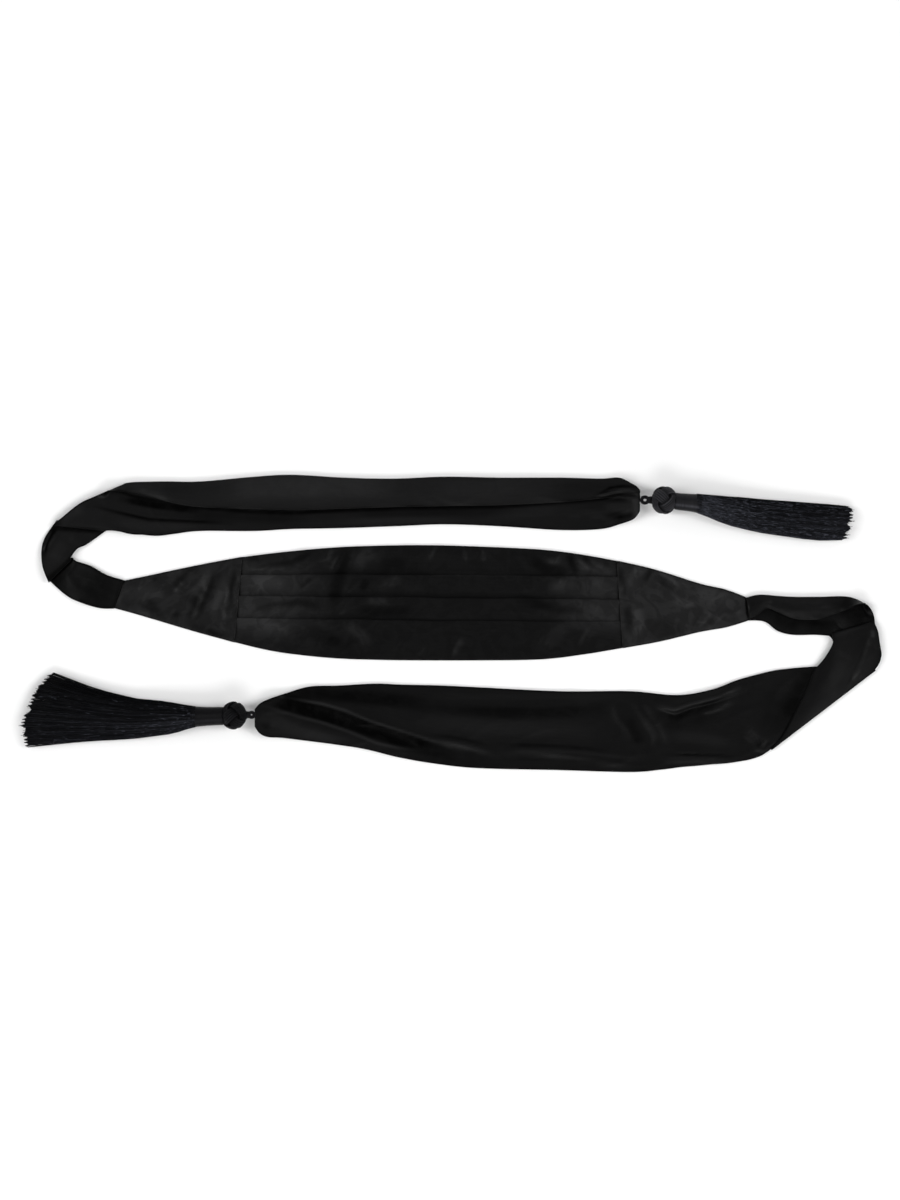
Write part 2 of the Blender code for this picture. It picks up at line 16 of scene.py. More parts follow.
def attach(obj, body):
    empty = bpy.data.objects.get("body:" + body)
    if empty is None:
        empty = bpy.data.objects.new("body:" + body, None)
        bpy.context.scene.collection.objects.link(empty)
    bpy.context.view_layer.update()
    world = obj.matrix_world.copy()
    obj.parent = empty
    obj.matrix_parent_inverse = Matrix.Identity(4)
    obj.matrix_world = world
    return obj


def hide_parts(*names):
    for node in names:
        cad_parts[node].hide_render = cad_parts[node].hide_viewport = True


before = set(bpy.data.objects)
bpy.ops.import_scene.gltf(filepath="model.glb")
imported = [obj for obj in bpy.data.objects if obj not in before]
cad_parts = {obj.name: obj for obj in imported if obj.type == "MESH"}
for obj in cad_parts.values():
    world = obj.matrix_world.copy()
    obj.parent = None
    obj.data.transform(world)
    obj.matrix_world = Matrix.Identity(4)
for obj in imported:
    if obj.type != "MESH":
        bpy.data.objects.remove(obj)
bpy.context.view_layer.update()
BODY = "root"
MM = 0.001

# How finely all cloth is shaped, how it rounds off, and how it dips into its seams.
ROW_SPACING = 2.4
EDGE_STEPS = 3
TURN_STEPS = 8
GROUND_CLEARANCE = 0.03
SEAM_GAP = 0.05
SEAM_DIP = 2.6
SEAM_LEVEL = 0.75
SEAM_CALM = 8.0

# The front's pleats and hems: how deep they are, and how their folds turn and come down.
PLEAT_WALL = 1.0
PLEAT_HALF = 0.22
PLEAT_CLEARANCE = 0.05
PLEAT_RADIUS = 0.36
PLEAT_DEPTH = 9.0
PLEAT_CREST = 2.5
PLEAT_SLOPE = 10.5
PLEAT_REST = 3.0
PLEAT_FALL = 8.0
HEM_DEPTH = 8.0
HEM_FALL = 9.0
HEM_RADIUS = 0.4
HEM_SINK = 0.15

# The side panels: half their thickness at the edges, and how they fill out away from them.
PANEL_COLUMNS = 46
PANEL_HALF = 0.55
PANEL_FILL = 0.65
PANEL_ROUNDING = 5.0
PANEL_CALM = 6.0

# The ties' cloth, how its edge is rolled over, and how its layers lie on one another.
TIE_WALL = 1.8
TIE_HALF = 0.45
LAYER_GAP = 0.4
GROUND_GAP = 0.1
ROLL_RADIUS = 1.3
GROUND_COLUMNS = 40
FLAP_COLUMNS = 16
FLAP_PUFF = 2.2
FULL_FLAP = 20
CREASE_FADE = 26.0
SAME_LINE = 0.05

# The lengths along which a stretch of a tie comes down from its tuck, and how far beyond a
# tuck the tie shows which way the tuck points.
LEFT_TURN_SETTLE = 45.0
LEFT_RUN_SETTLE = 110.0
RIGHT_TURN_SETTLE = 60.0
LEFT_TUCK_AHEAD = 12
RIGHT_TUCK_AHEAD = 20

# The satin's weave, and the twist of cords and threads, as waves across the cloth's places.
WEAVE_RATE = math.tau / (0.42 * MM)
WEAVE_SLANT = math.tau / (1.7 * MM)
SIDE_SHARE = 0.15
TWIST_SLANT = math.tau * 2 / (SIDE_SHARE * MM)

# The colours of satin and thread in the deepest painted shade, of satin in the fullest painted
# light, and how the studio's light shows them.
SATIN_SHADED = (0.0002, 0.0002, 0.0002)
SATIN_LIT = (0.03, 0.03, 0.0306)
THREAD_SHADED = (0.0006, 0.0006, 0.0008)
SATIN_GLOSS = 0.07
GLOSS_SEEN = 0.0015
ROOM_LIGHT = 1.45

# How the painted light fades into painted shade: at cloth's edges, on cloth that turns away,
# along strokes, and in steps of grey as painted shadow beside pleats and seams.
EDGE_PAINTED_LIGHT = 0.1
EDGE_FADE = 1.3
EDGE_PAINTED_SHADE = 0.8
FULLY_LIT_LEVEL = 0.9
SHEEN_POWER = 3.2
PLEAT_SHADE = 6.5
PLEAT_SHADE_ABOVE = 4.0
PLEAT_SHADE_BELOW = 0.7
SEAM_SHADE = 16.0
SEAM_SPREAD = 1.6

# Strokes start and end gently, and are never quite even. Puckers are longer one way.
STROKE_END = 0.3
END_AMOUNT = 0.12
UNEVENNESS = 0.07
UNEVEN_RATE = 0.09
PUCKER_STRETCH = 2.2
PUCKER_WANDER = 0.4

# The knots: five cords side by side, plaited round a core of the same cord.
KNOT_RADIUS = 14.9
KNOT_SINK = 0.4
KNOT_LEADS = 3
KNOT_BIGHTS = 4
KNOT_REACH = math.radians(54)
KNOT_CORDS = 5
KNOT_SIDES = 9
KNOT_NARROWING = 0.13
KNOT_FLATNESS = 0.98
CORD_RADIUS = 1.12
CORD_PITCH = 2.46
CORE_PITCH = 2.2
CORE_DEPTH = 2.6
CROSSING_STEEPNESS = 2.4
LEG_SAMPLES = 44
COIL_SAMPLES = 30
RIGHT_KNOT = (223.6, 128.5, KNOT_RADIUS - KNOT_SINK)
LEFT_KNOT = (-225.3, -96.5, KNOT_RADIUS - KNOT_SINK)

# The loops: their rings' middles and half sizes, and the ends that go into the knots.
LOOP_LEAN = math.radians(20)
LOOP_PLIES = 3
LOOP_PLY = 0.95
LOOP_SIDES = 8
LOOP_SAMPLES = 132
LOOP_TWISTS = 6
# How much painted light the loops' cords get: little, as painted shade.
LOOP_SHEEN = 0.16
RIGHT_LOOP = (203.75, 128.7, 12.4)
RIGHT_LOOP_REACH = (3.6, 3.1)
LEFT_LOOP = (-207.6, -95.9, 11.2)
LEFT_LOOP_REACH = (2.7, 2.5)
END_SAMPLES = 60
END_TWISTS = 1.6
END_LENGTH = 4.4
END_OVERLAP = 0.6
END_SIZE = 2.5
END_SPLAY = 0.6

# The tassels' necks, wound with thread.
NECK_REACH = 1.04
NECK_INSET = 4.5
NECK_SIDES = 44
NECK_SAMPLES = 5
NECK_WAIST = 0.04
NECK_SIZE = 0.985
NECK_END_SIZE = 0.72
NECK_ROUNDING = 14
THREAD_PITCH = 0.5
THREAD_RIDGE = 0.014

# Painted light on a neck: how light it is painted all round, and its bands of painted highlight:
# each one's place as a cosine, its width and its strength.
NECK_SHADE = 0.7
NECK_BANDS = ((-0.44, 0.16, 2.6), (0.65, 0.25, 0.5))

# The tassels' skirts: threads in locks over a body painted dark, as painted shade. Their sizes across
# are shares of the skirt's half width, and their places along are counted in rows of its table.
SKIRT_START = 0.9
THREADS = 1500
THREAD_SAMPLES = 11
THREAD_RADIUS = 0.24
THREAD_WAVE = 0.045
TIP_SPREAD = 0.035
STRAY_EVERY = 75
STRAY_WAVE = 0.16
ROOT_SPREAD = (0.45, 1.0)
THREAD_TURNS = (0.6, 1.8)
HEIGHT_LIMITS = (-0.96, 1.08)
LOCKS = 150
LOCK_SPREAD = (0.3, 1.0)
LOCK_PULL = (0.15, 0.6)
LOCK_CUT = (0.0, 1.1)
GATHER_POWER = 1.3
THREAD_CUT = (0.0, 0.7)
CUT_OFF_LOCK = 4.0
CUT_TEETH = 4.0
TEETH_POWER = 1.3
# Painted light on the threads: the radius and share of bright strands, which carry painted glints, their
# painted light, each other thread's painted light, and painted light near the neck.
BRIGHT_RADIUS = 0.4
BRIGHT_SHARE = 0.07
BRIGHT_SHEEN = 2.4
THREAD_SHEEN = (0.6, 1.1)
NECK_GLOW = 0.7
LONG_SHARE = 0.02
LONGER_BY = 3.0
# Painted glints: short stretches of thread laid on top of the skirt and painted bright, and a few long
# ones.
GLINT_SAMPLES = 6
GLINT_RADIUS = 0.34
GLINT_LENGTH = (0.01, 0.034)
LONG_GLINT_LENGTH = (0.12, 0.22)
LONG_GLINT_EVERY = 45
GLINT_DRIFT = 0.03
LONG_GLINT_DRIFT = 0.22
BODY_START = 0.92
BODY_STOP = 0.2
BODY_ROWS = 60
BODY_SIDES = 120
BODY_SIZE = 0.88
BODY_END_SIZE = 0.12
BODY_ROUNDING = 9
# How much painted light the body inside the skirt gets: little, as painted shade.
BODY_SHEEN = 0.05
BODY_CLEARANCE = 0.06

Ruling = namedtuple("Ruling", "top_x top_y bottom_x bottom_y")
Pleat = namedtuple("Pleat", "left_y middle_y right_y")
Row = namedtuple(
    "Row", "outer_x outer_y inner_x inner_y lift bend flap wall", defaults=[0.0, 0, 4, TIE_WALL]
)
Skirt = namedtuple("Skirt", "top_x top_y bottom_x bottom_y low high")
Stroke = namedtuple("Stroke", "amount left_spread right_spread points")
Cut = namedtuple("Cut", "width length area held")


def strokes(*rows):
    """Strokes from rows of an amount, the spreads to the left and right, and the points."""
    return [Stroke(*row[:3], row[3:]) for row in rows]


# The panels' top and bottom edges, a row for each station from left to right.
LEFT_PANEL = [
    Ruling(-342, 44, -352, 16),
    Ruling(-318, 49, -330, 10),
    Ruling(-290, 55, -303, 2),
    Ruling(-256, 62, -266, -9),
    Ruling(-218, 69, -226, -20),
]
FRONT = [
    Ruling(-218, 69, -226, -20),
    Ruling(-178, 74, -182, -30),
    Ruling(-123, 79, -125, -36.5),
    Ruling(-74, 81, -74, -38.5),
    Ruling(-21, 81.5, -21, -39),
    Ruling(32, 80, 32, -39),
    Ruling(94, 77, 95, -38),
    Ruling(136, 72, 139, -33),
    Ruling(175, 65, 181, -26),
]
RIGHT_PANEL = [
    Ruling(175, 65, 181, -26),
    Ruling(214, 56, 220, -19),
    Ruling(262, 41, 262, -9),
    Ruling(288, 35, 290, -4),
    Ruling(310, 27, 313, 3),
]

# Height of each pleat's free edge on the front, which faces up.
PLEATS = [
    Pleat(51, 51, 49),
    Pleat(29, 27, 25),
    Pleat(6, 3, 2),
]

# The left tie, from its seam to its cord: the outside of the turn, the inside, how far the
# cloth stands off the ground, by how many degrees its outer edge is folded over, how wide that
# flap is, and how thick the cloth lies where it is bunched.
LEFT_TIE_START = [
    Row(-352.12, 16, -342.12, 44, wall=3.0),
    Row(-368, 17, -360, 49, wall=3.6),
    Row(-388, 23, -378, 59, wall=3.6),
    Row(-403, 30, -392, 64, wall=2.6),
    Row(-421.3, 45.8, -396, 68),
]
LEFT_TIE_TURN = [
    Row(-421, 44, -398, 66),
    Row(-427, 60, -397, 70),
    Row(-428, 78, -391, 78),
    Row(-424, 91, -381, 83),
    Row(-413, 107, -360, 98),
]
LEFT_TIE_RUN = [
    Row(-415.4, 103, -362, 97),
    Row(-407, 110, -355, 97, 0.6),
    Row(-388, 125, -346, 96, 0.6),
    Row(-371, 133, -338, 94, 0.4, 10),
    Row(-362, 137, -330, 93, 0.3, 60),
    Row(-354, 141, -323, 93, 0.2, 120),
    Row(-345, 145, -314, 92, 0.0, 165, 7),
    Row(-335, 148, -304, 92, 0.0, 175, 11),
    Row(-299, 149, -289, 94, 0.0, 180, 20),
    Row(-262, 149, -262, 97, 0.0, 180, 25),
    Row(-205, 154, -205, 97, 0.0, 180, 32),
    Row(-166, 156, -168, 99, 0.0, 180, 35),
    Row(-110, 153, -116, 100, 0.0, 180, 31),
    Row(-58, 152, -58, 102, 0.0, 180, 28),
    Row(-5, 154, -5, 104, 0.0, 180, 29),
    Row(52, 153, 52, 102, 0.0, 180, 27),
    Row(116, 153, 116, 98, 0.0, 180, 24),
    Row(158, 152, 158, 99, 0.0, 180, 19),
    Row(177, 153, 178, 104, 1.5, 180, 19),
    Row(189, 147.5, 191, 108.5, 5.0, 180, 12),
    Row(195.5, 143.5, 196, 113, 7.5, 180, 9),
    Row(198.7, 139.5, 198.7, 117.5, 8.5, 180, 6),
]

# The right tie, in the same way: it turns down, passes over its own end and folds under.
RIGHT_TIE_START = [
    Row(310.12, 27, 313.12, 3, 0.0, 180, 20),
    Row(322, 30, 323, 3, 0.0, 180, 19),
    Row(333, 30, 332, 1, 0.0, 180, 12),
    Row(343, 29, 344, -8, 0.0, 180, 15),
    Row(362, 28, 360, -12, 0.0, 180, 21),
    Row(388, 28, 383, -12, 0.0, 180, 22),
    Row(418, 28, 397, -13, 0.4, 170, 16),
    Row(436, 20, 399, -14, 0.2, 80, 6),
    Row(444, 9, 400.5, -15.5, 0.0, 10),
    Row(446, -5, 402, -17.5),
]
RIGHT_TIE_TURN = [
    Row(444, 1, 401, -12),
    Row(448, -8, 402, -18, 0.2),
    Row(450, -20, 400, -25, 0.3),
    Row(452, -32, 392, -38, 0.2),
    Row(451.5, -37, 382, -50),
    Row(450.5, -41, 375, -68),
    Row(449, -44, 363, -92),
    Row(447.5, -46.5, 349, -118),
    Row(445.5, -49, 337, -132),
]
RIGHT_TIE_RUN = [
    Row(445.5, -49, 337, -132),
    Row(425, -47, 327, -139),
    Row(402, -46, 315, -143),
    Row(382, -46, 304, -145),
    Row(357, -48, 290, -147),
    Row(336, -51, 275, -148),
    Row(302, -60, 260, -149.5),
    Row(275, -70, 242, -151),
    Row(238, -76, 222, -153.5),
    Row(189, -72, 189, -156),
    Row(116, -72, 116, -154),
    Row(32, -68, 32, -152),
    Row(-10, -66, -10, -148),
    Row(-52, -65, -52, -141),
    Row(-79, -64, -89, -132),
    Row(-116, -66, -121, -127, 0.3),
    Row(-147, -67, -152, -123, 1.0),
    Row(-172, -74, -176, -120, 2.5),
    Row(-190, -80, -191, -119, 5.5),
    Row(-199, -84.5, -199.5, -115, 7.5),
    Row(-204.4, -90.5, -204.4, -108, 8.5),
]

# The right tie folds under along a slant, whose outside faces this way.
SLANT_OUTWARD = Vector((3, -4))

# The tassels, from the knot outwards: two rows of the neck, then the skirt.
RIGHT_TASSEL = [
    Skirt(238.5, 136.5, 238.5, 118.5, 5.5, 22.5),
    Skirt(260, 135, 260, 115, 2.5, 21.5),
    Skirt(299, 132, 291, 102.5, 0.2, 18.0),
    Skirt(337, 129, 331, 94, 0.1, 15.0),
    Skirt(394, 125, 388, 86.5, 0.1, 12.0),
    Skirt(424, 122.5, 418, 87, 0.1, 10.0),
]
LEFT_TASSEL = [
    Skirt(-240.2, -87.5, -240.2, -106.5, 5.5, 22.5),
    Skirt(-269, -87, -269, -109, 1.5, 21.5),
    Skirt(-300, -82, -291, -116, 0.2, 18.0),
    Skirt(-336, -79, -336, -121, 0.1, 15.0),
    Skirt(-380, -69, -394, -124, 0.1, 12.0),
    Skirt(-429, -52, -455, -130, 0.1, 10.0),
]

# The line along which each skirt is cut off, as (y, x).
RIGHT_SKIRT_END = [(86, 415), (96, 419.5), (103, 420), (108, 422), (114, 423.2), (120, 422), (123, 418)]
LEFT_SKIRT_END = [
    (-130, -446), (-126, -447), (-118, -448), (-108, -450.5), (-101, -449.5),
    (-92, -444.5), (-82, -441), (-71, -438), (-63, -429.5), (-53, -421),
]

# Listed creases: ridges, and troughs where the height is below zero.
FRONT_CREASES = strokes(
    (1.2, 2, 2, (-217, 66), (-210, 58), (-197, 58), (-184, 66)),
    (0.9, 5, 4, (-189, 54), (-170, 64), (-158, 74), (-141, 77)),
    (0.9, 2, 2, (-134, 65), (-126, 78)),
    (1.1, 2.5, 2.5, (-123, 51), (-119, 64), (-110, 77)),
    (1.0, 4, 6, (-103, 54), (-99, 70), (-92, 79)),
    (0.8, 6, 8, (-74, 59), (-61, 76)),
    (0.6, 2, 2, (-23, 65), (-18, 76)),
    (0.7, 2, 2, (14, 78), (17, 66)),
    (0.8, 2, 2, (34, 78), (35, 64)),
    (0.8, 3, 3, (100, 70), (111, 66), (124, 72)),
    (1.0, 2.5, 2.5, (128, 74), (134, 64), (145, 54)),
    (1.1, 3, 3, (141, 70), (149, 60), (164, 51)),
    (0.9, 3, 3, (-160, 34), (-145, 46)),
    (0.7, 3, 3, (-135, 35), (-126, 48)),
    (1.0, 4, 5, (-110, 32), (-100, 47)),
    (0.8, 4, 4, (-86, 32), (-80, 47)),
    (0.8, 3, 4, (-78, 46), (-63, 35)),
    (0.8, 6, 8, (-52, 34), (-26, 48)),
    (0.8, 4, 4, (103, 33), (116, 47)),
    (0.9, 2.5, 3, (128, 33), (134, 47), (147, 33)),
    (0.9, 4, 4, (-215, 9), (-189, 19), (-166, 21)),
    (0.8, 3, 3, (-118, 9), (-107, 25)),
    (0.8, 4, 4, (-89, 23), (-68, 24), (-55, 16)),
    (0.8, 3, 4, (116, 20), (145, 20), (153, 7)),
    (0.9, 3, 3, (-174, -14), (-168, -7), (-155, -4)),
    (0.8, 3, 3, (-187, -20), (-178, -28), (-166, -33)),
    (0.9, 3, 4, (-139, -28), (-128, -19), (-118, -15)),
    (0.9, 4, 3, (-113, -30), (-105, -21), (-90, -20)),
    (0.7, 3, 3, (-58, -34), (-50, -24), (-47, -16)),
    (0.6, 2, 3, (-28, -36), (-20, -23)),
    (1.0, 2.5, 3, (4, -38), (8, -26), (15, -15)),
    (0.8, 3, 4, (93, -28), (100, -16), (106, -6)),
    (0.9, 3, 4, (138, -25), (143, -13), (153, -4)),
)
LEFT_PANEL_CREASES = strokes(
    (0.8, 4, 4, (-315, 42), (-303, 51)),
    (1.1, 3, 5, (-290, 28), (-275, 45), (-264, 57)),
    (1.6, 5, 8, (-269, -4), (-258, 23), (-248, 48), (-238, 60)),
    (1.3, 4, 4, (-236, -16), (-232, 24), (-225, 60)),
    (0.9, 3, 3, (-307, 18), (-319, 24), (-312, 33)),
    (0.8, 3, 3, (-259, -12), (-250, -4), (-237, -12)),
    (0.8, 6, 6, (-345, 27), (-317, 35), (-298, 36)),
    (0.7, 3, 3, (-299, 10), (-287, 3)),
    (0.7, 4, 4, (-328, 18), (-313, 9)),
)
RIGHT_PANEL_CREASES = strokes(
    (1.3, 4, 6, (182, 26), (189, 49), (201, 63)),
    (1.2, 4, 5, (185, -16), (192, 7), (190, 24)),
    (0.8, 3, 3, (200, 39), (213, 55)),
    (1.3, 3, 4, (214, 50), (227, 40), (238, 33)),
    (0.9, 3, 3, (225, 54), (237, 43), (250, 37)),
    (0.8, 4, 4, (250, 27), (266, 19), (279, 25)),
    (1.0, 3, 4, (252, -6), (262, 7), (274, 16)),
    (0.9, 3, 3, (269, -4), (280, 10)),
    (0.9, 3, 3, (282, 0), (295, 10), (306, 14)),
    (0.9, 6, 7, (200, -19), (208, 1), (212, 16)),
)
LEFT_TIE_CREASES = strokes(
    (1.6, 2, 9, (-382, 123), (-346, 116), (-315, 109), (-273, 107), (-233, 105)),
    (1.6, 2, 4, (-427, 74), (-415, 99)),
    (0.5, 6, 8, (-388, 35), (-372, 45), (-355, 41)),
    (0.4, 5, 5, (-407, 56), (-391, 37), (-368, 24)),
    (2.0, 1.6, 1.6, (153, 134), (174, 139), (201, 139)),
    (1.8, 1.5, 1.5, (155, 128), (176, 133), (201, 132)),
    (2.4, 6, 7, (111, 117), (155, 121), (201, 126)),
    (1.2, 3, 3, (162, 104), (176, 111), (195, 116)),
    (1.1, 7, 7, (-189, 112), (-126, 109), (-52, 113), (21, 110), (94, 114)),
    (1.0, 8, 10, (-284, 139), (-220, 141), (-158, 136), (-105, 140)),
    (1.0, 8, 10, (-63, 143), (0, 139), (74, 143), (147, 141)),
    (1.2, 6, 6, (-326, 141), (-294, 133)),
    (0.9, 6, 6, (-399, 93), (-380, 82)),
)
RIGHT_TIE_CREASES = strokes(
    (1.8, 10, 9, (-183, -78), (-147, -82), (-121, -90), (-89, -102), (-52, -113), (-8, -129)),
    (1.8, 9, 11, (-200, -85), (-158, -100), (-126, -112), (-82, -124), (-27, -133)),
    (4.2, 13, 26, (-139, -87), (-68, -87), (0, -93), (52, -96), (116, -99), (170, -103)),
    (1.7, 3, 4, (-19, -121), (10, -126), (32, -132), (50, -138)),
    (2.2, 3, 7, (48, -138), (74, -131), (116, -135), (158, -141), (210, -149)),
    (-2.4, 12, 9, (170, -79), (197, -110), (212, -138)),
    (2.0, 8, 8, (191, -78), (216, -116), (225, -138)),
    (5.2, 8, 2.8, (211, -85), (236, -91), (252, -85), (273, -80), (309, -69)),
    (1.8, 3, 3, (260, -94), (277, -90), (294, -84)),
    (-1.2, 1.8, 1.8, (227, -138), (262, -139), (302, -140)),
    (1.6, 3, 4, (215, -144), (262, -142), (309, -142)),
    (1.8, 4, 4, (304, -108), (321, -125), (335, -132)),
    (1.3, 2.5, 2.5, (315, -131), (330, -133), (344, -125)),
    (1.0, 4, 4, (-204, -92), (-178, -91), (-158, -90)),
    (1.0, 5, 5, (-203, -104), (-183, -111), (-158, -116)),
    (1.6, 5, 5, (-197, -83), (-174, -74)),
    (1.8, 9, 12, (52, -81), (116, -81), (158, -84)),
    (0.5, 2, 2, (401, 2), (415, -10)),
    (1.6, 5, 3, (407, -75), (420, -59), (429, -40), (434, -26), (438, -16), (445, -6)),
    (1.6, 6, 6, (342, 20), (368, 17), (403, 18)),
    (1.2, 6, 9, (374, -81), (395, -56), (407, -26)),
    (1.3, 7, 7, (368, -104), (388, -85), (410, -68)),
    (1.2, 5, 5, (435, -56), (423, -64), (412, -78)),
    (1.3, 4, 4, (321, 21), (338, 24)),
)

# Painted light and shade: how much lighter or darker the satin is painted along listed strokes,
# in steps of grey, over a base grey for each piece, standing in for its sheen and for the shade
# in its folds, pockets and seams.
PANEL_PAINTED_GREY = 34
RIGHT_PANEL_PAINTED_GREY = 39
FRONT_PAINTED_GREY = 22
LEFT_TIE_PAINTED_GREY = 25
RIGHT_TIE_PAINTED_GREY = 21
FRONT_PAINTED_SHADING = strokes(
    (20, 74, 74, (-210, 82), (-214, 24), (-217, -28)),
    (17, 56, 56, (172, 71), (166, 24), (164, -18)),
    (-12, 3, 3, (-206, 54), (-191, 60), (-166, 63), (-153, 70), (-139, 79)),
    (8, 5, 5, (-210, 79), (-178, 77), (-160, 82)),
    (-10, 2.5, 2.5, (-214, 66), (-204, 68), (-197, 63)),
    (-9, 7, 7, (-103, 82), (-111, 61), (-118, 43), (-122, 26), (-120, 9)),
    (10, 2.5, 2.5, (-129, 64), (-123, 79)),
    (12, 8, 8, (-103, 54), (-92, 70), (-74, 77)),
    (-6, 7, 7, (-76, 52), (-61, 64), (-42, 60)),
    (-10, 2.5, 2.5, (-160, 35), (-151, 43), (-143, 48)),
    (10, 7, 7, (-212, 40), (-191, 43), (-168, 41)),
    (-10, 4, 4, (-93, 33), (-86, 48)),
    (9, 5, 5, (-76, 41), (-61, 43), (-47, 48)),
    (-12, 4, 4, (-214, 9), (-187, 18), (-158, 22), (-130, 16)),
    (12, 4, 4, (-90, 23), (-78, 24), (-63, 24)),
    (-8, 5, 5, (-103, 13), (-68, 12), (-32, 14)),
    (-6, 8, 8, (-174, -18), (-149, -9), (-130, -14), (-107, -28)),
    (-4, 4, 4, (-132, -26), (-124, -18), (-110, -24), (-97, -19)),
    (10, 6, 6, (-110, 1), (-92, -14), (-82, -26)),
    (6, 8, 8, (-210, 3), (-189, -1), (-170, -18)),
    (13, 1.8, 1.8, (-22, 65), (-17, 76), (-13, 82)),
    (10, 1.8, 1.8, (14, 78), (17, 64)),
    (12, 1.6, 1.6, (34, 78), (36, 64)),
    (13, 2.5, 2.5, (3, -38), (7, -26), (14, -14)),
    (6, 1.5, 1.5, (-34, -35), (-26, -25)),
    (-10, 6, 6, (81, 68), (100, 58), (128, 52)),
    (12, 4, 4, (101, 66), (111, 64), (118, 70)),
    (-13, 4, 4, (124, 74), (129, 60), (134, 51)),
    (13, 2.2, 2.2, (130, 70), (141, 60), (151, 54)),
    (-10, 2, 2, (140, 74), (144, 63)),
    (10, 3, 3, (149, 64), (162, 57), (172, 51)),
    (9, 5, 5, (103, 37), (126, 41), (130, 33)),
    (-10, 1.8, 1.8, (134, 45), (139, 33)),
    (6, 4, 4, (147, 45), (163, 39), (172, 35)),
    (-10, 5, 5, (74, 24), (116, 14), (147, 13)),
    (9, 2.5, 2.5, (145, 20), (155, 12)),
    (9, 2.5, 2.5, (134, -26), (141, -13), (147, -3)),
    (5, 8, 8, (94, -28), (116, -9), (131, -5)),
    (6, 3, 2, (-37, 51), (21, 51), (94, 50)),
    (5, 3, 2, (-74, 6), (-10, 5), (52, 4), (116, 4)),
    (7, 3, 2, (116, 4), (158, 3), (200, 2)),
)
LEFT_PANEL_PAINTED_SHADING = strokes(
    (-24, 1.6, 1.6, (-339, 54), (-347, 30), (-355, 6)),
    (-13, 3.5, 3.5, (-294, 33), (-286, 43), (-273, 54), (-264, 60)),
    (11, 4, 4, (-273, 24), (-262, 40), (-250, 56)),
    (-15, 6, 6, (-243, 58), (-252, 40), (-262, 22), (-271, 5), (-275, -7)),
    (-11, 5, 5, (-277, 26), (-267, 24), (-260, 14)),
    (11, 4, 4, (-235, 56), (-239, 35), (-249, 12), (-239, 1)),
    (-11, 3.5, 3.5, (-225, 62), (-229, 40), (-231, 14)),
    (-11, 4, 4, (-322, 24), (-313, 18), (-302, 7)),
    (-11, 3, 3, (-290, 6), (-284, 12)),
    (-8, 3, 3, (-317, 42), (-307, 49)),
    (-11, 4, 4, (-257, -5), (-246, -12), (-235, -16)),
    (8, 7, 7, (-341, 29), (-315, 35), (-299, 24)),
    (8, 4, 4, (-294, 54), (-281, 58)),
    (-8, 6, 6, (-273, -2), (-252, -13), (-236, -18)),
)
RIGHT_PANEL_PAINTED_SHADING = strokes(
    (-13, 3, 3, (178, 61), (181, 40), (183, 24)),
    (-14, 4, 4, (185, 20), (188, 5), (185, -14)),
    (11, 3, 3, (185, 35), (191, 50), (200, 64)),
    (-13, 2.5, 2.5, (204, 42), (210, 54), (212, 58)),
    (-13, 3.5, 3.5, (218, 47), (229, 39), (239, 33)),
    (13, 2, 2, (217, 54), (229, 49), (242, 37)),
    (11, 4, 4, (233, 27), (246, 20), (260, 22)),
    (8, 8, 8, (252, 30), (278, 28), (299, 20)),
    (-8, 7, 7, (206, 14), (210, -5), (233, -2), (237, 5)),
    (10, 6, 6, (193, 18), (200, 1), (197, -14)),
    (-8, 3, 3, (254, -5), (260, 7)),
    (13, 1.8, 1.8, (260, -7), (269, 5), (275, 12)),
    (-8, 2.5, 2.5, (271, -3), (281, 7)),
    (10, 1.8, 1.8, (279, 1), (288, 9), (296, 5)),
    (-7, 6, 6, (200, -18), (226, -16), (252, -9)),
)
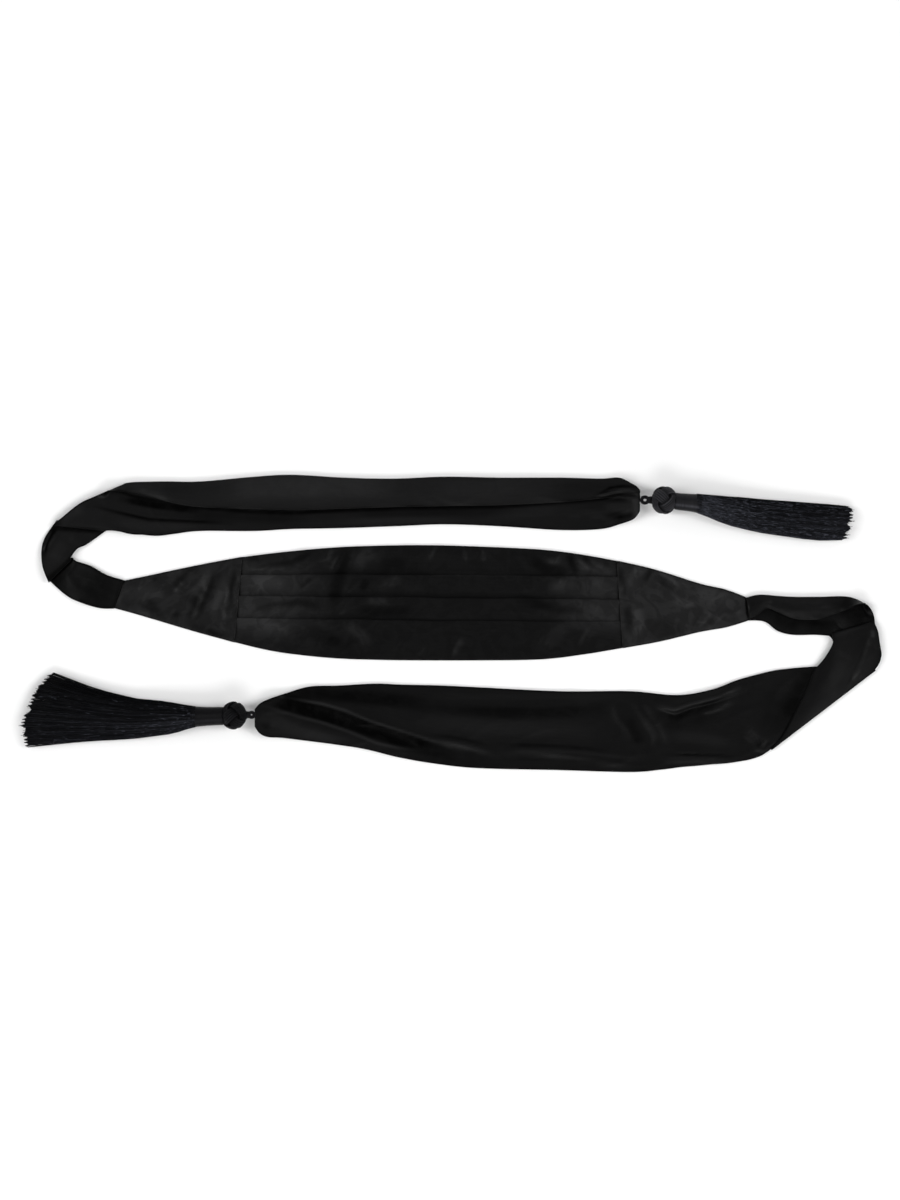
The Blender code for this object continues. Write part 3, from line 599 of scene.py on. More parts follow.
LEFT_TIE_PAINTED_SHADING = strokes(
    (-11, 18, 18, (-340, 25), (-370, 35), (-388, 39), (-412, 47), (-426, 54)),
    (-16, 2.5, 2.5, (-339, 54), (-347, 30), (-355, 6)),
    (-34, 7.5, 3.6, (-386, 76), (-396, 67), (-403, 59), (-410, 53), (-420, 46), (-430, 38)),
    (5, 7, 7, (-403, 87), (-412, 75), (-418, 64)),
    (-21, 2.0, 3.4, (-424, 101), (-412, 100), (-397, 99), (-378, 98), (-355, 96)),
    (-24, 3.2, 2.2, (-407, 110), (-416, 98), (-424, 84), (-428, 66)),
    (7, 6, 6, (-412, 108), (-397, 117), (-380, 121)),
    (-18, 1.2, 2.4, (-380, 123), (-363, 120), (-346, 116), (-315, 109), (-273, 107), (-229, 105)),
    (
        -22, 0.8, 3.2, (-372, 141), (-355, 139), (-336, 135), (-315, 130), (-273, 123),
        (-210, 118), (-158, 117), (-52, 122), (52, 123), (126, 128), (158, 131), (212, 130),
    ),
    (4, 18, 18, (-300, 134), (-160, 136), (-60, 138), (60, 138), (140, 136)),
    (-24, 2.0, 3.6, (-346, 130), (-330, 128), (-315, 125), (-294, 122), (-262, 118)),
    (-14, 1.6, 1.6, (-368, 141), (-349, 139), (-334, 134), (-319, 131), (-299, 127)),
    (-9, 5, 4, (-342, 130), (-326, 127), (-310, 124), (-288, 121)),
    (-8, 6, 7, (-315, 120), (-262, 114), (-200, 111), (-126, 112)),
    (-7, 3, 6, (-126, 114), (-52, 117), (32, 118), (94, 121)),
    (5, 6, 4, (-357, 106), (-315, 100), (-262, 100)),
    (7, 5, 5, (-340, 143), (-315, 138), (-294, 132)),
    (12, 16, 12, (-257, 138), (-200, 142), (-126, 143), (-42, 142)),
    (5, 8, 8, (-32, 140), (52, 142), (136, 142)),
    (5, 3, 5, (-126, 107), (-52, 108), (10, 109)),
    (4, 8, 5, (32, 114), (105, 117), (158, 121)),
    (7, 3, 6, (158, 124), (178, 123), (195, 122)),
    (-20, 2.0, 2.0, (151, 131), (168, 141), (181, 143), (205, 141)),
    (-18, 1.8, 1.8, (155, 129), (172, 134), (185, 136), (206, 135)),
    (8, 2, 2, (170, 138), (183, 140), (193, 139)),
    (-12, 2.5, 2.5, (174, 109), (183, 112), (193, 114)),
    (6, 3, 2, (143, 110), (158, 111), (168, 107)),
    (-10, 3, 1.5, (187, 149), (195, 144), (201, 138)),
    (-8, 4, 4, (158, 117), (178, 112), (205, 108)),
    (-4, 24, 26, (94, 126), (147, 127), (210, 126)),
)
RIGHT_TIE_PAINTED_SHADING = strokes(
    (-11, 0.6, 7, (317, 6), (326, 12), (334, 15), (342, 12), (357, 6), (380, 3), (405, 2)),
    (-10, 5, 5, (338, 6), (351, -2), (368, -5)),
    (-14, 10, 10, (407, 18), (420, 12), (433, 5), (439, 1)),
    (-6, 6, 8, (368, -3), (388, -3), (407, -3)),
    (4, 8, 5, (322, 20), (352, 21), (388, 19), (407, 22)),
    (7, 2, 2, (342, 16), (353, 9), (363, 6)),
    (-8, 1.5, 1.5, (402, 1), (414, -9)),
    (8, 1.5, 1.5, (401, -14), (420, -8), (439, -2)),
    (9, 13, 13, (416, -18), (420, -41), (405, -72), (378, -108), (350, -130)),
    (20, 2.2, 2.2, (443, -7), (443, -16)),
    (-6, 2.5, 1, (442, -12), (433, -30), (422, -56), (412, -70)),
    (6, 6, 6, (445, -23), (439, -43), (426, -64)),
    (7, 6, 6, (416, -81), (388, -98), (362, -120)),
    (-11, 0.6, 12, (386, -36), (378, -54), (370, -72), (360, -94), (352, -112)),
    (-4, 16, 16, (357, -70), (344, -93), (336, -121)),
    (13, 2.4, 1.8, (212, -85), (225, -88), (236, -91), (254, -85), (273, -80), (290, -77), (304, -70)),
    (-11, 2, 5, (223, -92), (237, -98), (252, -91), (269, -84), (286, -83)),
    (-4, 8, 8, (210, -98), (233, -104), (262, -98), (294, -89)),
    (6, 3, 3, (273, -91), (288, -87), (300, -82)),
    (8, 4, 4, (200, -98), (210, -110), (220, -125)),
    (-8, 6, 6, (185, -98), (193, -114), (202, -129)),
    (-8, 5, 7, (-27, -89), (32, -92), (94, -94), (147, -91), (178, -86)),
    (5, 8, 9, (-52, -104), (0, -104), (63, -110), (126, -112), (170, -117)),
    (4, 4, 4, (-42, -76), (32, -78), (116, -77), (200, -77)),
    (-11, 8, 7, (-189, -70), (-126, -75), (-74, -80), (-10, -87)),
    (
        27, 1.9, 1.6, (-206, -73), (-190, -75), (-177, -78), (-158, -81), (-134, -85), (-110, -92),
        (-84, -103), (-52, -113), (-27, -121), (10, -133),
    ),
    (
        -34, 7.8, 8, (-214, -70), (-174, -83), (-152, -89), (-131, -95), (-105, -103), (-74, -114),
        (-48, -122), (-32, -127), (0, -138),
    ),
    (
        16, 1.5, 2.0, (-210, -80), (-197, -85), (-181, -91), (-158, -98), (-131, -105),
        (-105, -114), (-76, -126), (-52, -131), (-10, -134),
    ),
    (11, 6, 8, (-202, -98), (-178, -104), (-158, -114), (-126, -122), (-99, -127)),
    (-7, 4, 5, (-197, -110), (-187, -106)),
    (-3, 7, 7, (-52, -140), (0, -141), (52, -146)),
    (10, 1.6, 1.6, (-27, -122), (0, -125), (26, -131), (50, -139)),
    (-7, 2, 1.4, (-25, -117), (2, -120), (27, -125), (46, -131)),
    (-8, 2, 2, (52, -128), (94, -128), (136, -131), (170, -135)),
    (6, 1.6, 1.8, (52, -134), (94, -134), (136, -136), (184, -141), (220, -140)),
    (-6, 2, 2, (58, -143), (105, -143), (158, -146), (200, -147)),
    (-12, 1.3, 1.3, (229, -138), (262, -139), (299, -140)),
    (8, 1.6, 3, (215, -142), (252, -142), (299, -143)),
    (-9, 2, 2, (319, -129), (329, -127), (337, -125)),
    (7, 2, 2, (307, -110), (315, -119), (322, -127)),
    (7, 6, 6, (225, -118), (262, -121), (299, -127)),
    (-20, 6, 6, (416, 26), (428, 21), (441, 13), (447, 5)),
    (-13, 12, 11, (419, 52), (422, 28), (426, -6)),
)


class Value:
    """A shader socket that Python's operators work on, each by adding a Math node."""

    def __init__(self, finish, node, socket):
        self.finish = finish
        self.node = node
        self.socket = socket

    def output(self, name):
        """Another output of the same node."""
        return Value(self.finish, self.node, self.node.outputs[name])

    def maths(self, operation, first, second=0.0):
        return self.finish.add("ShaderNodeMath", {"operation": operation}, {0: first, 1: second})

    def __add__(self, other):
        return self.maths("ADD", self, other)

    def __sub__(self, other):
        return self.maths("SUBTRACT", self, other)

    def __mul__(self, other):
        return self.maths("MULTIPLY", self, other)

    def sine(self):
        return self.maths("SINE", self)


class Finish:
    """The nodes of one material or of the light around the sash."""

    def __init__(self, tree):
        self.tree = tree

    def add(self, kind, settings=None, sockets=None):
        """Adds a node: its settings first, then its sockets' values or links."""
        node = self.tree.nodes.new(kind)
        for name, value in (settings or {}).items():
            setattr(node, name, value)
        for name, value in (sockets or {}).items():
            self.feed(node.inputs[name], value)
        return Value(self, node, node.outputs[0])

    def feed(self, socket, value):
        if isinstance(value, Value):
            self.tree.links.new(value.socket, socket)
        else:
            socket.default_value = value

    def ramp(self, share, *stops):
        """Greys that change from stop to stop, each a place and a grey."""
        ramp = self.add("ShaderNodeValToRGB", {}, {0: share})
        for stop, (place, grey) in zip(ramp.node.color_ramp.elements, stops):
            stop.position = place
            stop.color = (grey, grey, grey, 1.0)
        return ramp

    def split(self, vector):
        """A vector's X, with its Y and Z as other outputs."""
        return self.add("ShaderNodeSeparateXYZ", {}, {0: vector})

    def layer(self, name):
        """The places in one of the meshes' UV layers."""
        return self.add("ShaderNodeUVMap", {"uv_map": name})

    def stretched(self, place, scale):
        """A place with each of its directions scaled."""
        return self.add("ShaderNodeVectorMath", {"operation": "MULTIPLY"}, {0: place, 1: scale})

    def clouds(self, place, scale, detail=2.0, distortion=0.0):
        sockets = {"Vector": place, "Scale": scale, "Detail": detail, "Distortion": distortion}
        return self.add("ShaderNodeTexNoise", {}, sockets)

    def between(self, share, low, high):
        """A number from low to high as the share goes from 0 to 1."""
        return share * (high - low) + low

    def shaded(self, share, dark, light):
        """A colour between two."""
        mix = self.add("ShaderNodeMix", {"data_type": "RGBA"}, {"Factor": share})
        self.feed(mix.node.inputs["A"], (*dark, 1.0))
        self.feed(mix.node.inputs["B"], (*light, 1.0))
        return mix.output("Result")

    def bump(self, height):
        """A bumpy surface from heights in millimetres."""
        sockets = {"Strength": 1.0, "Distance": MM, "Height": height}
        return self.add("ShaderNodeBump", {}, sockets)


def new_finish(name, **constants):
    """A material and its Principled shader, with what is the same all over set on its sockets."""
    material = bpy.data.materials.new(name)
    material.use_nodes = True
    shader = material.node_tree.nodes["Principled BSDF"]
    for socket, value in constants.items():
        shader.inputs[socket.replace("_", " ")].default_value = value
    return material, shader, Finish(material.node_tree)


def satin(name, roughness, crinkle, sheen_patchiness):
    """Satin with painted light and shade in its colour, in soft patches of painted sheen and of
    roughness, with a fine weave and slubs.
    """
    material, shader, finish = new_finish(name, Specular_IOR_Level=SATIN_GLOSS)
    place = finish.layer("cloth")
    lit = finish.split(finish.layer("sheen"))
    sheen_patches = finish.clouds(place, 62.0, detail=3.0, distortion=1.2)
    sheen_patches = finish.ramp(sheen_patches, (0.45, 0.0), (0.55, 1.0))
    slubs = finish.clouds(finish.stretched(place, (35.0, 900.0, 1.0)), 1.0)
    puckers = finish.clouds(place, 95.0, detail=1.0, distortion=0.5)
    across = finish.split(place)
    weave = (across.output("Y") * WEAVE_RATE + across * WEAVE_SLANT).sine()
    share = lit * finish.between(sheen_patches, 1.0 - sheen_patchiness, 1.0 + sheen_patchiness) * (slubs * 0.3 + 0.85)
    finish.feed(shader.inputs["Base Color"], finish.shaded(share, SATIN_SHADED, SATIN_LIT))
    rough = finish.between(sheen_patches, roughness + 0.04, roughness - 0.03) + (slubs - 0.5) * 0.1
    finish.feed(shader.inputs["Roughness"], rough)
    height = puckers * crinkle + slubs * 0.02 + weave * 0.005
    finish.feed(shader.inputs["Normal"], finish.bump(height))
    return material


def threads(name, light, roughness, gloss, twist_length, twist_depth, glints=0.0):
    """Rayon threads: each has its own tone and painted light, with short painted glints along it and a
    fine twist; light is the colour of fully lit thread.
    """
    material, shader, finish = new_finish(name, Specular_IOR_Level=gloss)
    place = finish.layer("cloth")
    lit = finish.split(finish.layer("sheen"))
    split = finish.split(place)
    tone = finish.clouds(finish.stretched(place, (997.0, 14.0, 1.0)), 1.0, detail=1.0)
    tone = finish.ramp(tone, (0.3, 0.0), (0.7, 1.0))
    glint = finish.clouds(finish.stretched(place, (997.0, 150.0, 1.0)), 1.0, detail=1.0)
    glint = finish.ramp(glint, (0.56, 0.0), (0.63, 1.0))
    twist = (split.output("Y") * (math.tau / (twist_length * MM)) + split * TWIST_SLANT).sine()
    share = lit * (tone * 0.6 + 0.4) + lit * lit * glint * glints
    finish.feed(shader.inputs["Base Color"], finish.shaded(share, THREAD_SHADED, light))
    finish.feed(shader.inputs["Roughness"], finish.between(tone, roughness + 0.1, roughness - 0.1))
    finish.feed(shader.inputs["Normal"], finish.bump(twist * twist_depth))
    return material


def new_mesh(name, points, faces, places, sheen, material):
    """A piece from its points in millimetres, its faces, and each point's place and painted light, which
    goes into a UV layer of its own.
    """
    points = np.asarray(points).reshape(-1, 3)
    places = np.asarray(places).reshape(-1, 2)
    mesh = bpy.data.meshes.new(name)
    mesh.from_pydata((points * MM).tolist(), [], faces)
    layer = mesh.uv_layers.new(name="cloth")
    corners = np.empty(len(mesh.loops), dtype=np.int32)
    mesh.loops.foreach_get("vertex_index", corners)
    layer.data.foreach_set("uv", (places[corners] * MM).ravel())
    layer = mesh.uv_layers.new(name="sheen")
    lit = np.broadcast_to(sheen, (len(points),))[corners]
    layer.data.foreach_set("uv", np.stack([lit, np.zeros_like(lit)], axis=1).ravel())
    outwards = bmesh.new()
    outwards.from_mesh(mesh)
    bmesh.ops.recalc_face_normals(outwards, faces=outwards.faces)
    outwards.to_mesh(mesh)
    outwards.free()
    mesh.shade_smooth()
    mesh.materials.append(material)
    piece = bpy.data.objects.new(name, mesh)
    bpy.context.scene.collection.objects.link(piece)
    return piece


def ring_faces(rows, sides, first=0, closed=False):
    """Faces between rows of points that each go all the way round."""
    here = np.arange(sides)
    after = (here + 1) % sides
    faces = []
    for row in range(rows if closed else rows - 1):
        low = first + row * sides
        high = first + (row + 1) % rows * sides
        faces += np.stack([low + here, low + after, high + after, high + here], axis=1).tolist()
    return faces


def end_faces(rows, sides, first=0):
    """The two faces that close such rows at their ends."""
    last = first + (rows - 1) * sides
    return [list(range(start, start + sides)) for start in (first, last)]


def unit(vectors):
    lengths = np.linalg.norm(vectors, axis=-1, keepdims=True)
    return vectors / np.maximum(lengths, 1e-9)


def run_length(points, axis):
    """How far each point of a grid is along its line of cloth."""
    steps = np.linalg.norm(np.diff(points, axis=axis), axis=2)
    start = np.zeros_like(np.take(steps, [0], axis=axis))
    return np.cumsum(np.concatenate([start, steps], axis=axis), axis=axis)


def from_ends(run, axis):
    """How far each point is from the nearer end of its line, by its run_length."""
    return np.minimum(run, np.take(run, [-1], axis=axis) - run)


def eased(share):
    """A share from 0 to 1 that starts and ends gently."""
    share = np.clip(share, 0.0, 1.0)
    return share * share * (3 - 2 * share)


def rounded(share):
    """A share from 0 to 1 that rises like a quarter of a circle."""
    return np.sqrt(1 - (1 - np.clip(share, 0.0, 1.0)) ** 2)


def lit_share(grey):
    """How much of the lit satin's colour gives a painted grey tone in this studio."""
    linear = ((np.maximum(grey, 0.0) / 255 + 0.055) / 1.055) ** 2.4
    return np.clip((linear - GLOSS_SEEN) / (SATIN_LIT[0] * ROOM_LIGHT), 0.0, 1.0)


def thick_cloth(name, points, half, grey, material):
    """A closed shell on both sides of a grid of points, with rounded edges and closed ends."""
    rows, columns, _ = points.shape
    half = np.broadcast_to(half, (rows, columns))[:, :, None]
    normals = unit(np.cross(np.gradient(points, axis=0), np.gradient(points, axis=1)))
    across = run_length(points, 1)
    along = np.broadcast_to(run_length(points, 0).mean(axis=1, keepdims=True), across.shape)
    # Painted shade: cloth that turns away from level is painted darker, so is cloth close to each edge,
    # and the rounded edges keep only a small share of the painted light.
    level = np.clip(np.abs(normals[:, :, 2]) / FULLY_LIT_LEVEL, 0.0, 1.0) ** 2
    edge_painted_shade = EDGE_PAINTED_SHADE * np.exp(-((from_ends(across, 1) / EDGE_FADE) ** 2))
    sheen = lit_share(grey) * level * (1 - edge_painted_shade)
    above = points + normals * half
    above_places = np.stack([along, across], axis=2)
    edges = []
    for edge, inward, side in ((-1, -2, 1), (0, 1, -1)):
        middle = points[:, edge]
        outward = unit(middle - points[:, inward])
        edge_points = []
        edge_places = []
        for step in range(1, EDGE_STEPS + 1):
            angle = math.pi * (0.5 - step / (EDGE_STEPS + 1)) * side
            swing = normals[:, edge] * math.sin(angle) + outward * math.cos(angle)
            edge_points.append(middle + swing * half[:, edge])
            beyond_edge = across[:, edge] + side * half[:, edge, 0] * math.cos(angle)
            edge_places.append(np.stack([along[:, edge], beyond_edge], axis=1))
        edge_painted_light = np.repeat(sheen[:, edge, None] * EDGE_PAINTED_LIGHT, EDGE_STEPS, axis=1)
        edges.append((np.stack(edge_points, axis=1), np.stack(edge_places, axis=1), edge_painted_light))
    under = (points - normals * half)[:, ::-1]
    under_side = (under, above_places[:, ::-1], sheen[:, ::-1])
    sides = zip((above, above_places, sheen), edges[0], under_side, edges[1])
    shell, places, lit = (np.concatenate(parts, axis=1) for parts in sides)
    size = shell.shape[1]
    faces = ring_faces(rows, size)
    last_under = 2 * columns + EDGE_STEPS - 1
    for start in (0, (rows - 1) * size):
        for column in range(columns - 1):
            back = start + last_under - column
            faces.append([start + column, start + column + 1, back - 1, back])
        faces.append([start + index for index in range(columns - 1, columns + EDGE_STEPS + 1)])
        faces.append([start + index % size for index in range(last_under, size + 1)])
    return new_mesh(name, shell, faces, places, lit.ravel(), material)


def stroke_sum(x, y, placed, power=2):
    """What the strokes add at each place: as heights of creases, or as steps of grey of painted light
    and shade.
    """
    total = np.zeros_like(x)
    for number, stroke in enumerate(placed):
        line = np.array(stroke.points, dtype=float)
        lengths = np.linalg.norm(np.diff(line, axis=0), axis=1)
        starts = np.concatenate([[0.0], np.cumsum(lengths)])
        nearest = np.full_like(x, np.inf)
        signed = np.zeros_like(x)
        reached = np.zeros_like(x)
        for start, end, length, before in zip(line, line[1:], lengths, starts):
            way = (end - start) / length
            along = (x - start[0]) * way[0] + (y - start[1]) * way[1]
            along = np.clip(along, 0.0, length)
            off_x = x - start[0] - way[0] * along
            off_y = y - start[1] - way[1] * along
            distance = np.hypot(off_x, off_y)
            closer = distance < nearest
            nearest = np.where(closer, distance, nearest)
            signed = np.where(closer, way[0] * off_y - way[1] * off_x, signed)
            reached = np.where(closer, before + along, reached)
        share = reached / starts[-1]
        spread = np.where(signed > 0, stroke.left_spread, stroke.right_spread)
        ends = eased(share / STROKE_END) * eased((1 - share) / STROKE_END)
        ends = END_AMOUNT + (1 - END_AMOUNT) * ends
        uneven = 1.0 + UNEVENNESS * np.sin(reached * UNEVEN_RATE + number * 2.1)
        total += stroke.amount * ends * uneven * np.exp(-((nearest / spread) ** power))
    return total


def pucker_lift(x, y, height, scale, slant):
    """Small soft puckers all over, longer one way than the other."""
    turned_x = x * math.cos(slant) + y * math.sin(slant)
    turned_y = y * math.cos(slant) - x * math.sin(slant)
    lift = []
    for u, v in zip((turned_x / scale).ravel(), (turned_y / scale / PUCKER_STRETCH).ravel()):
        warp = noise.noise((u * PUCKER_WANDER, v * PUCKER_WANDER, 7.0))
        fold = 1.0 - abs(noise.noise((u + warp, v - warp, 1.0))) * 2.0
        lift.append(max(fold, 0.0) ** 2)
    return height * np.array(lift).reshape(x.shape)


def smooth_between(before, start, end, after, share):
    """A point on the curve from start to end, bent towards the values on both sides."""
    return 0.5 * (
        2 * start
        + (end - before) * share
        + (2 * before - 5 * start + 4 * end - after) * share**2
        + (3 * start - before - 3 * end + after) * share**3
    )


def smooth_rows(rows):
    """More rows between the given ones, about ROW_SPACING apart at the wider edge."""
    kind = type(rows[0])
    result = []
    for before, start, end, after in zip(rows[:1] + rows, rows, rows[1:], rows[2:] + rows[-1:]):
        first_edge = math.hypot(end[0] - start[0], end[1] - start[1])
        second_edge = math.hypot(end[2] - start[2], end[3] - start[3])
        steps = max(1, round(max(first_edge, second_edge) / ROW_SPACING))
        for step in range(steps):
            values = zip(before, start, end, after)
            result.append(kind(*(smooth_between(*four, step / steps) for four in values)))
    return result + rows[-1:]


def close_to_seams(rows):
    """The same rows with one more beside each end, where the cloth dips into its seam."""
    first, last = (
        type(end)(*(a + (b - a) * 0.3 for a, b in zip(end, inward)))
        for end, inward in ((rows[0], rows[1]), (rows[-1], rows[-2]))
    )
    return [rows[0], first] + rows[1:-1] + [last, rows[-1]]


def seam_dip(distance):
    """How much of its height the cloth keeps near a seam."""
    rise = np.sin(np.clip(distance / SEAM_DIP, 0.0, 1.0) * math.pi / 2)
    return SEAM_LEVEL + (1 - SEAM_LEVEL) * rise


def seam_shade(distance):
    """How many steps of grey darker the cloth is painted near a seam, as painted shade."""
    return SEAM_SHADE * np.exp(-((distance / SEAM_SPREAD) ** 2))


def half_turn(centre, radius, start, towards):
    """Points of a half circle in a flat section, from below or above, bulging towards +1 or -1."""
    points = []
    for step in range(TURN_STEPS + 1):
        angle = math.pi * step / TURN_STEPS
        across = centre[0] + towards * radius * math.sin(angle)
        height = centre[1] + start * radius * math.cos(angle)
        points.append((across, height))
    return points


def go_on(section, place, height, steps, straight=False):
    """Adds points from a section's last one to a new one, easing the height unless straight."""
    start_place, start_height = section[-1]
    for step in range(1, steps + 1):
        share = step / steps
        rise = share if straight else float(eased(share))
        across = start_place + (place - start_place) * share
        section.append((across, start_height + (height - start_height) * rise))


def front_section(top, pleats, bottom):
    """The front's cloth from one hem to the other, as (y, z) through each pleat."""
    radius = PLEAT_RADIUS
    ground = PLEAT_HALF + PLEAT_CLEARANCE
    hem_top = ground + 2 * HEM_RADIUS
    section = [(top - HEM_DEPTH, ground)]
    go_on(section, top - HEM_RADIUS, ground, 4)
    section += half_turn((top - HEM_RADIUS, ground + HEM_RADIUS), HEM_RADIUS, -1, 1)[1:]
    go_on(section, top - HEM_DEPTH, hem_top, 4)
    go_on(section, top - HEM_DEPTH - HEM_FALL, ground, 5)
    for number, edge in enumerate(pleats):
        turn_under = edge - PLEAT_DEPTH
        turn_over = edge - radius - PLEAT_WALL / 2
        go_on(section, turn_under, ground, 10 if number == 0 else 6)
        section += half_turn((turn_under, ground + radius), radius, -1, -1)[1:]
        go_on(section, turn_over, ground + 2 * radius, 4)
        section += half_turn((turn_over, ground + 3 * radius), radius, -1, 1)[1:]
        go_on(section, turn_over - PLEAT_CREST, ground + 4 * radius, 3)
        if edge != pleats[-1]:
            go_on(section, turn_under - PLEAT_SLOPE, ground, 9, straight=True)
        else:
            go_on(section, turn_under - PLEAT_REST, ground + 2 * radius, 6, straight=True)
    crest_end = section[-1][0]
    hem_start = bottom + HEM_DEPTH
    middle = (crest_end + hem_start) / 2
    low = hem_top - HEM_SINK
    go_on(section, max(crest_end - PLEAT_FALL, middle + 0.3), low, 6)
    go_on(section, min(hem_start + HEM_FALL, middle - 0.3), low, 4)
    go_on(section, hem_start, hem_top, 5)
    go_on(section, bottom + HEM_RADIUS, hem_top, 4)
    section += half_turn((bottom + HEM_RADIUS, ground + HEM_RADIUS), HEM_RADIUS, 1, -1)[1:]
    go_on(section, hem_start, ground, 4)
    return section


def pleat_height(pleat, x):
    """A pleat's free edge is a shallow bow through three heights, not quite even."""
    left, right = FRONT[0].top_x, FRONT[-1].top_x
    share = (x - left) / (right - left)
    bow = pleat.middle_y - (pleat.left_y + pleat.right_y) / 2
    waver = 0.35 * math.sin(x * 0.045 + pleat.left_y) + 0.2 * math.sin(x * 0.11)
    waver *= 4 * share * (1 - share)
    return pleat.left_y + (pleat.right_y - pleat.left_y) * share + 4 * bow * share * (1 - share) + waver


def make_front(material):
    grid = []
    for ruling in close_to_seams(smooth_rows(FRONT)):
        rise = ruling.top_y - ruling.bottom_y
        edges = [pleat_height(pleat, ruling.top_x) for pleat in PLEATS]
        line = []
        for y, z in front_section(ruling.top_y, edges, ruling.bottom_y):
            share = (y - ruling.bottom_y) / rise
            line.append((ruling.bottom_x + (ruling.top_x - ruling.bottom_x) * share, y, z))
        grid.append(line)
    points = np.array(grid)
    x, y = points[:, :, 0], points[:, :, 1]
    from_seam = from_ends(run_length(points, 0), 0)
    puckers = pucker_lift(x, y, height=0.55, scale=15.0, slant=-0.9)
    lift = stroke_sum(x, y, FRONT_CREASES) + puckers
    points[:, :, 2] += lift * eased(from_seam / SEAM_CALM)
    points[:, :, 2] *= seam_dip(from_seam)
    # Painted light and shade on the front: its base grey and strokes, painted shadow beside each pleat's
    # free edge, and painted shade along its seams.
    grey = FRONT_PAINTED_GREY + stroke_sum(x, y, FRONT_PAINTED_SHADING, SHEEN_POWER)
    for pleat in PLEATS:
        above = y - np.array([pleat_height(pleat, place) for place in x[:, 0]])[:, None]
        spread = np.where(above > 0, PLEAT_SHADE_ABOVE, PLEAT_SHADE_BELOW)
        grey -= PLEAT_SHADE * np.exp(-((above / spread) ** 2))
    return thick_cloth(
        "front_pleated_satin", points, PLEAT_HALF, grey - seam_shade(from_seam), material
    )


def make_side_panel(name, rulings, seam_shift, creases, slant, tone, sheen, material):
    """A plain panel with its interlining: flat below, softly rounded and puckered above."""
    rows = close_to_seams(smooth_rows(rulings))
    even = np.linspace(0.0, 1.0, PANEL_COLUMNS)
    closer_at_edges = (1 - np.cos(np.linspace(0.0, math.pi, PANEL_COLUMNS))) / 2
    shares = 0.5 * closer_at_edges + 0.5 * even
    low = np.array([(r.bottom_x + seam_shift, r.bottom_y, 0.0) for r in rows])[:, None]
    high = np.array([(r.top_x + seam_shift, r.top_y, 0.0) for r in rows])[:, None]
    points = high + (low - high) * shares[None, :, None]
    x, y = points[:, :, 0], points[:, :, 1]
    from_edge = from_ends(run_length(points, 1), 1)
    from_seam = from_ends(run_length(points, 0), 0)
    lift = stroke_sum(x, y, creases) + pucker_lift(x, y, height=0.6, scale=14.0, slant=slant)
    half = PANEL_HALF + PANEL_FILL * rounded(from_edge / PANEL_ROUNDING)
    half = half + 0.5 * lift * eased(from_edge / PANEL_CALM) * eased(from_seam / PANEL_CALM)
    half *= seam_dip(from_seam)
    points[:, :, 2] = half + GROUND_CLEARANCE
    # Painted light and shade on the panel: its base grey, its strokes, and painted shade along its
    # seams.
    grey = tone + stroke_sum(x, y, sheen, SHEEN_POWER) - seam_shade(from_seam)
    return thick_cloth(name, points, half, grey, material)


def tie_line(row, level):
    """Points across a tie from its inner to its outer edge, with that edge folded over."""
    inner = Vector((row.inner_x, row.inner_y))
    outer = Vector((row.outer_x, row.outer_y))
    width = (outer - inner).length
    across = (outer - inner) / width
    bend = math.radians(max(row.bend, 0.0))
    step_length = math.pi * ROLL_RADIUS / TURN_STEPS
    flap = [(0.0, 0.0)]
    for step in range(TURN_STEPS):
        heading = bend * (step + 0.5) / TURN_STEPS
        last = flap[-1]
        rise = step_length * math.sin(heading)
        flap.append((last[0] + step_length * math.cos(heading), last[1] + rise))
    puff = FLAP_PUFF * max(-math.cos(bend), 0.0) * min(row.flap / FULL_FLAP, 1.0)
    root = flap[-1]
    for step in range(1, FLAP_COLUMNS + 1):
        share = step / FLAP_COLUMNS
        length = row.flap * share
        dome = puff * math.sin(math.pi * share) + puff * 0.35 * share
        flap.append((root[0] + length * math.cos(bend), root[1] + length * math.sin(bend) + dome))
    reach = max(point[0] for point in flap) + TIE_WALL / 2 * math.sin(bend / 2)
    hinge = width - reach
    points = []
    for column in range(GROUND_COLUMNS):
        place = inner + across * hinge * column / GROUND_COLUMNS
        points.append((place.x, place.y, level + row.lift))
    for distance, height in flap:
        place = inner + across * (hinge + distance)
        points.append((place.x, place.y, level + row.lift + height))
    return points


def moved(row, outer_way, inner_way, distance=1.0):
    """The same line across a tie, with each of its ends moved."""
    return row._replace(
        outer_x=row.outer_x + outer_way.x * distance,
        outer_y=row.outer_y + outer_way.y * distance,
        inner_x=row.inner_x + inner_way.x * distance,
        inner_y=row.inner_y + inner_way.y * distance,
    )


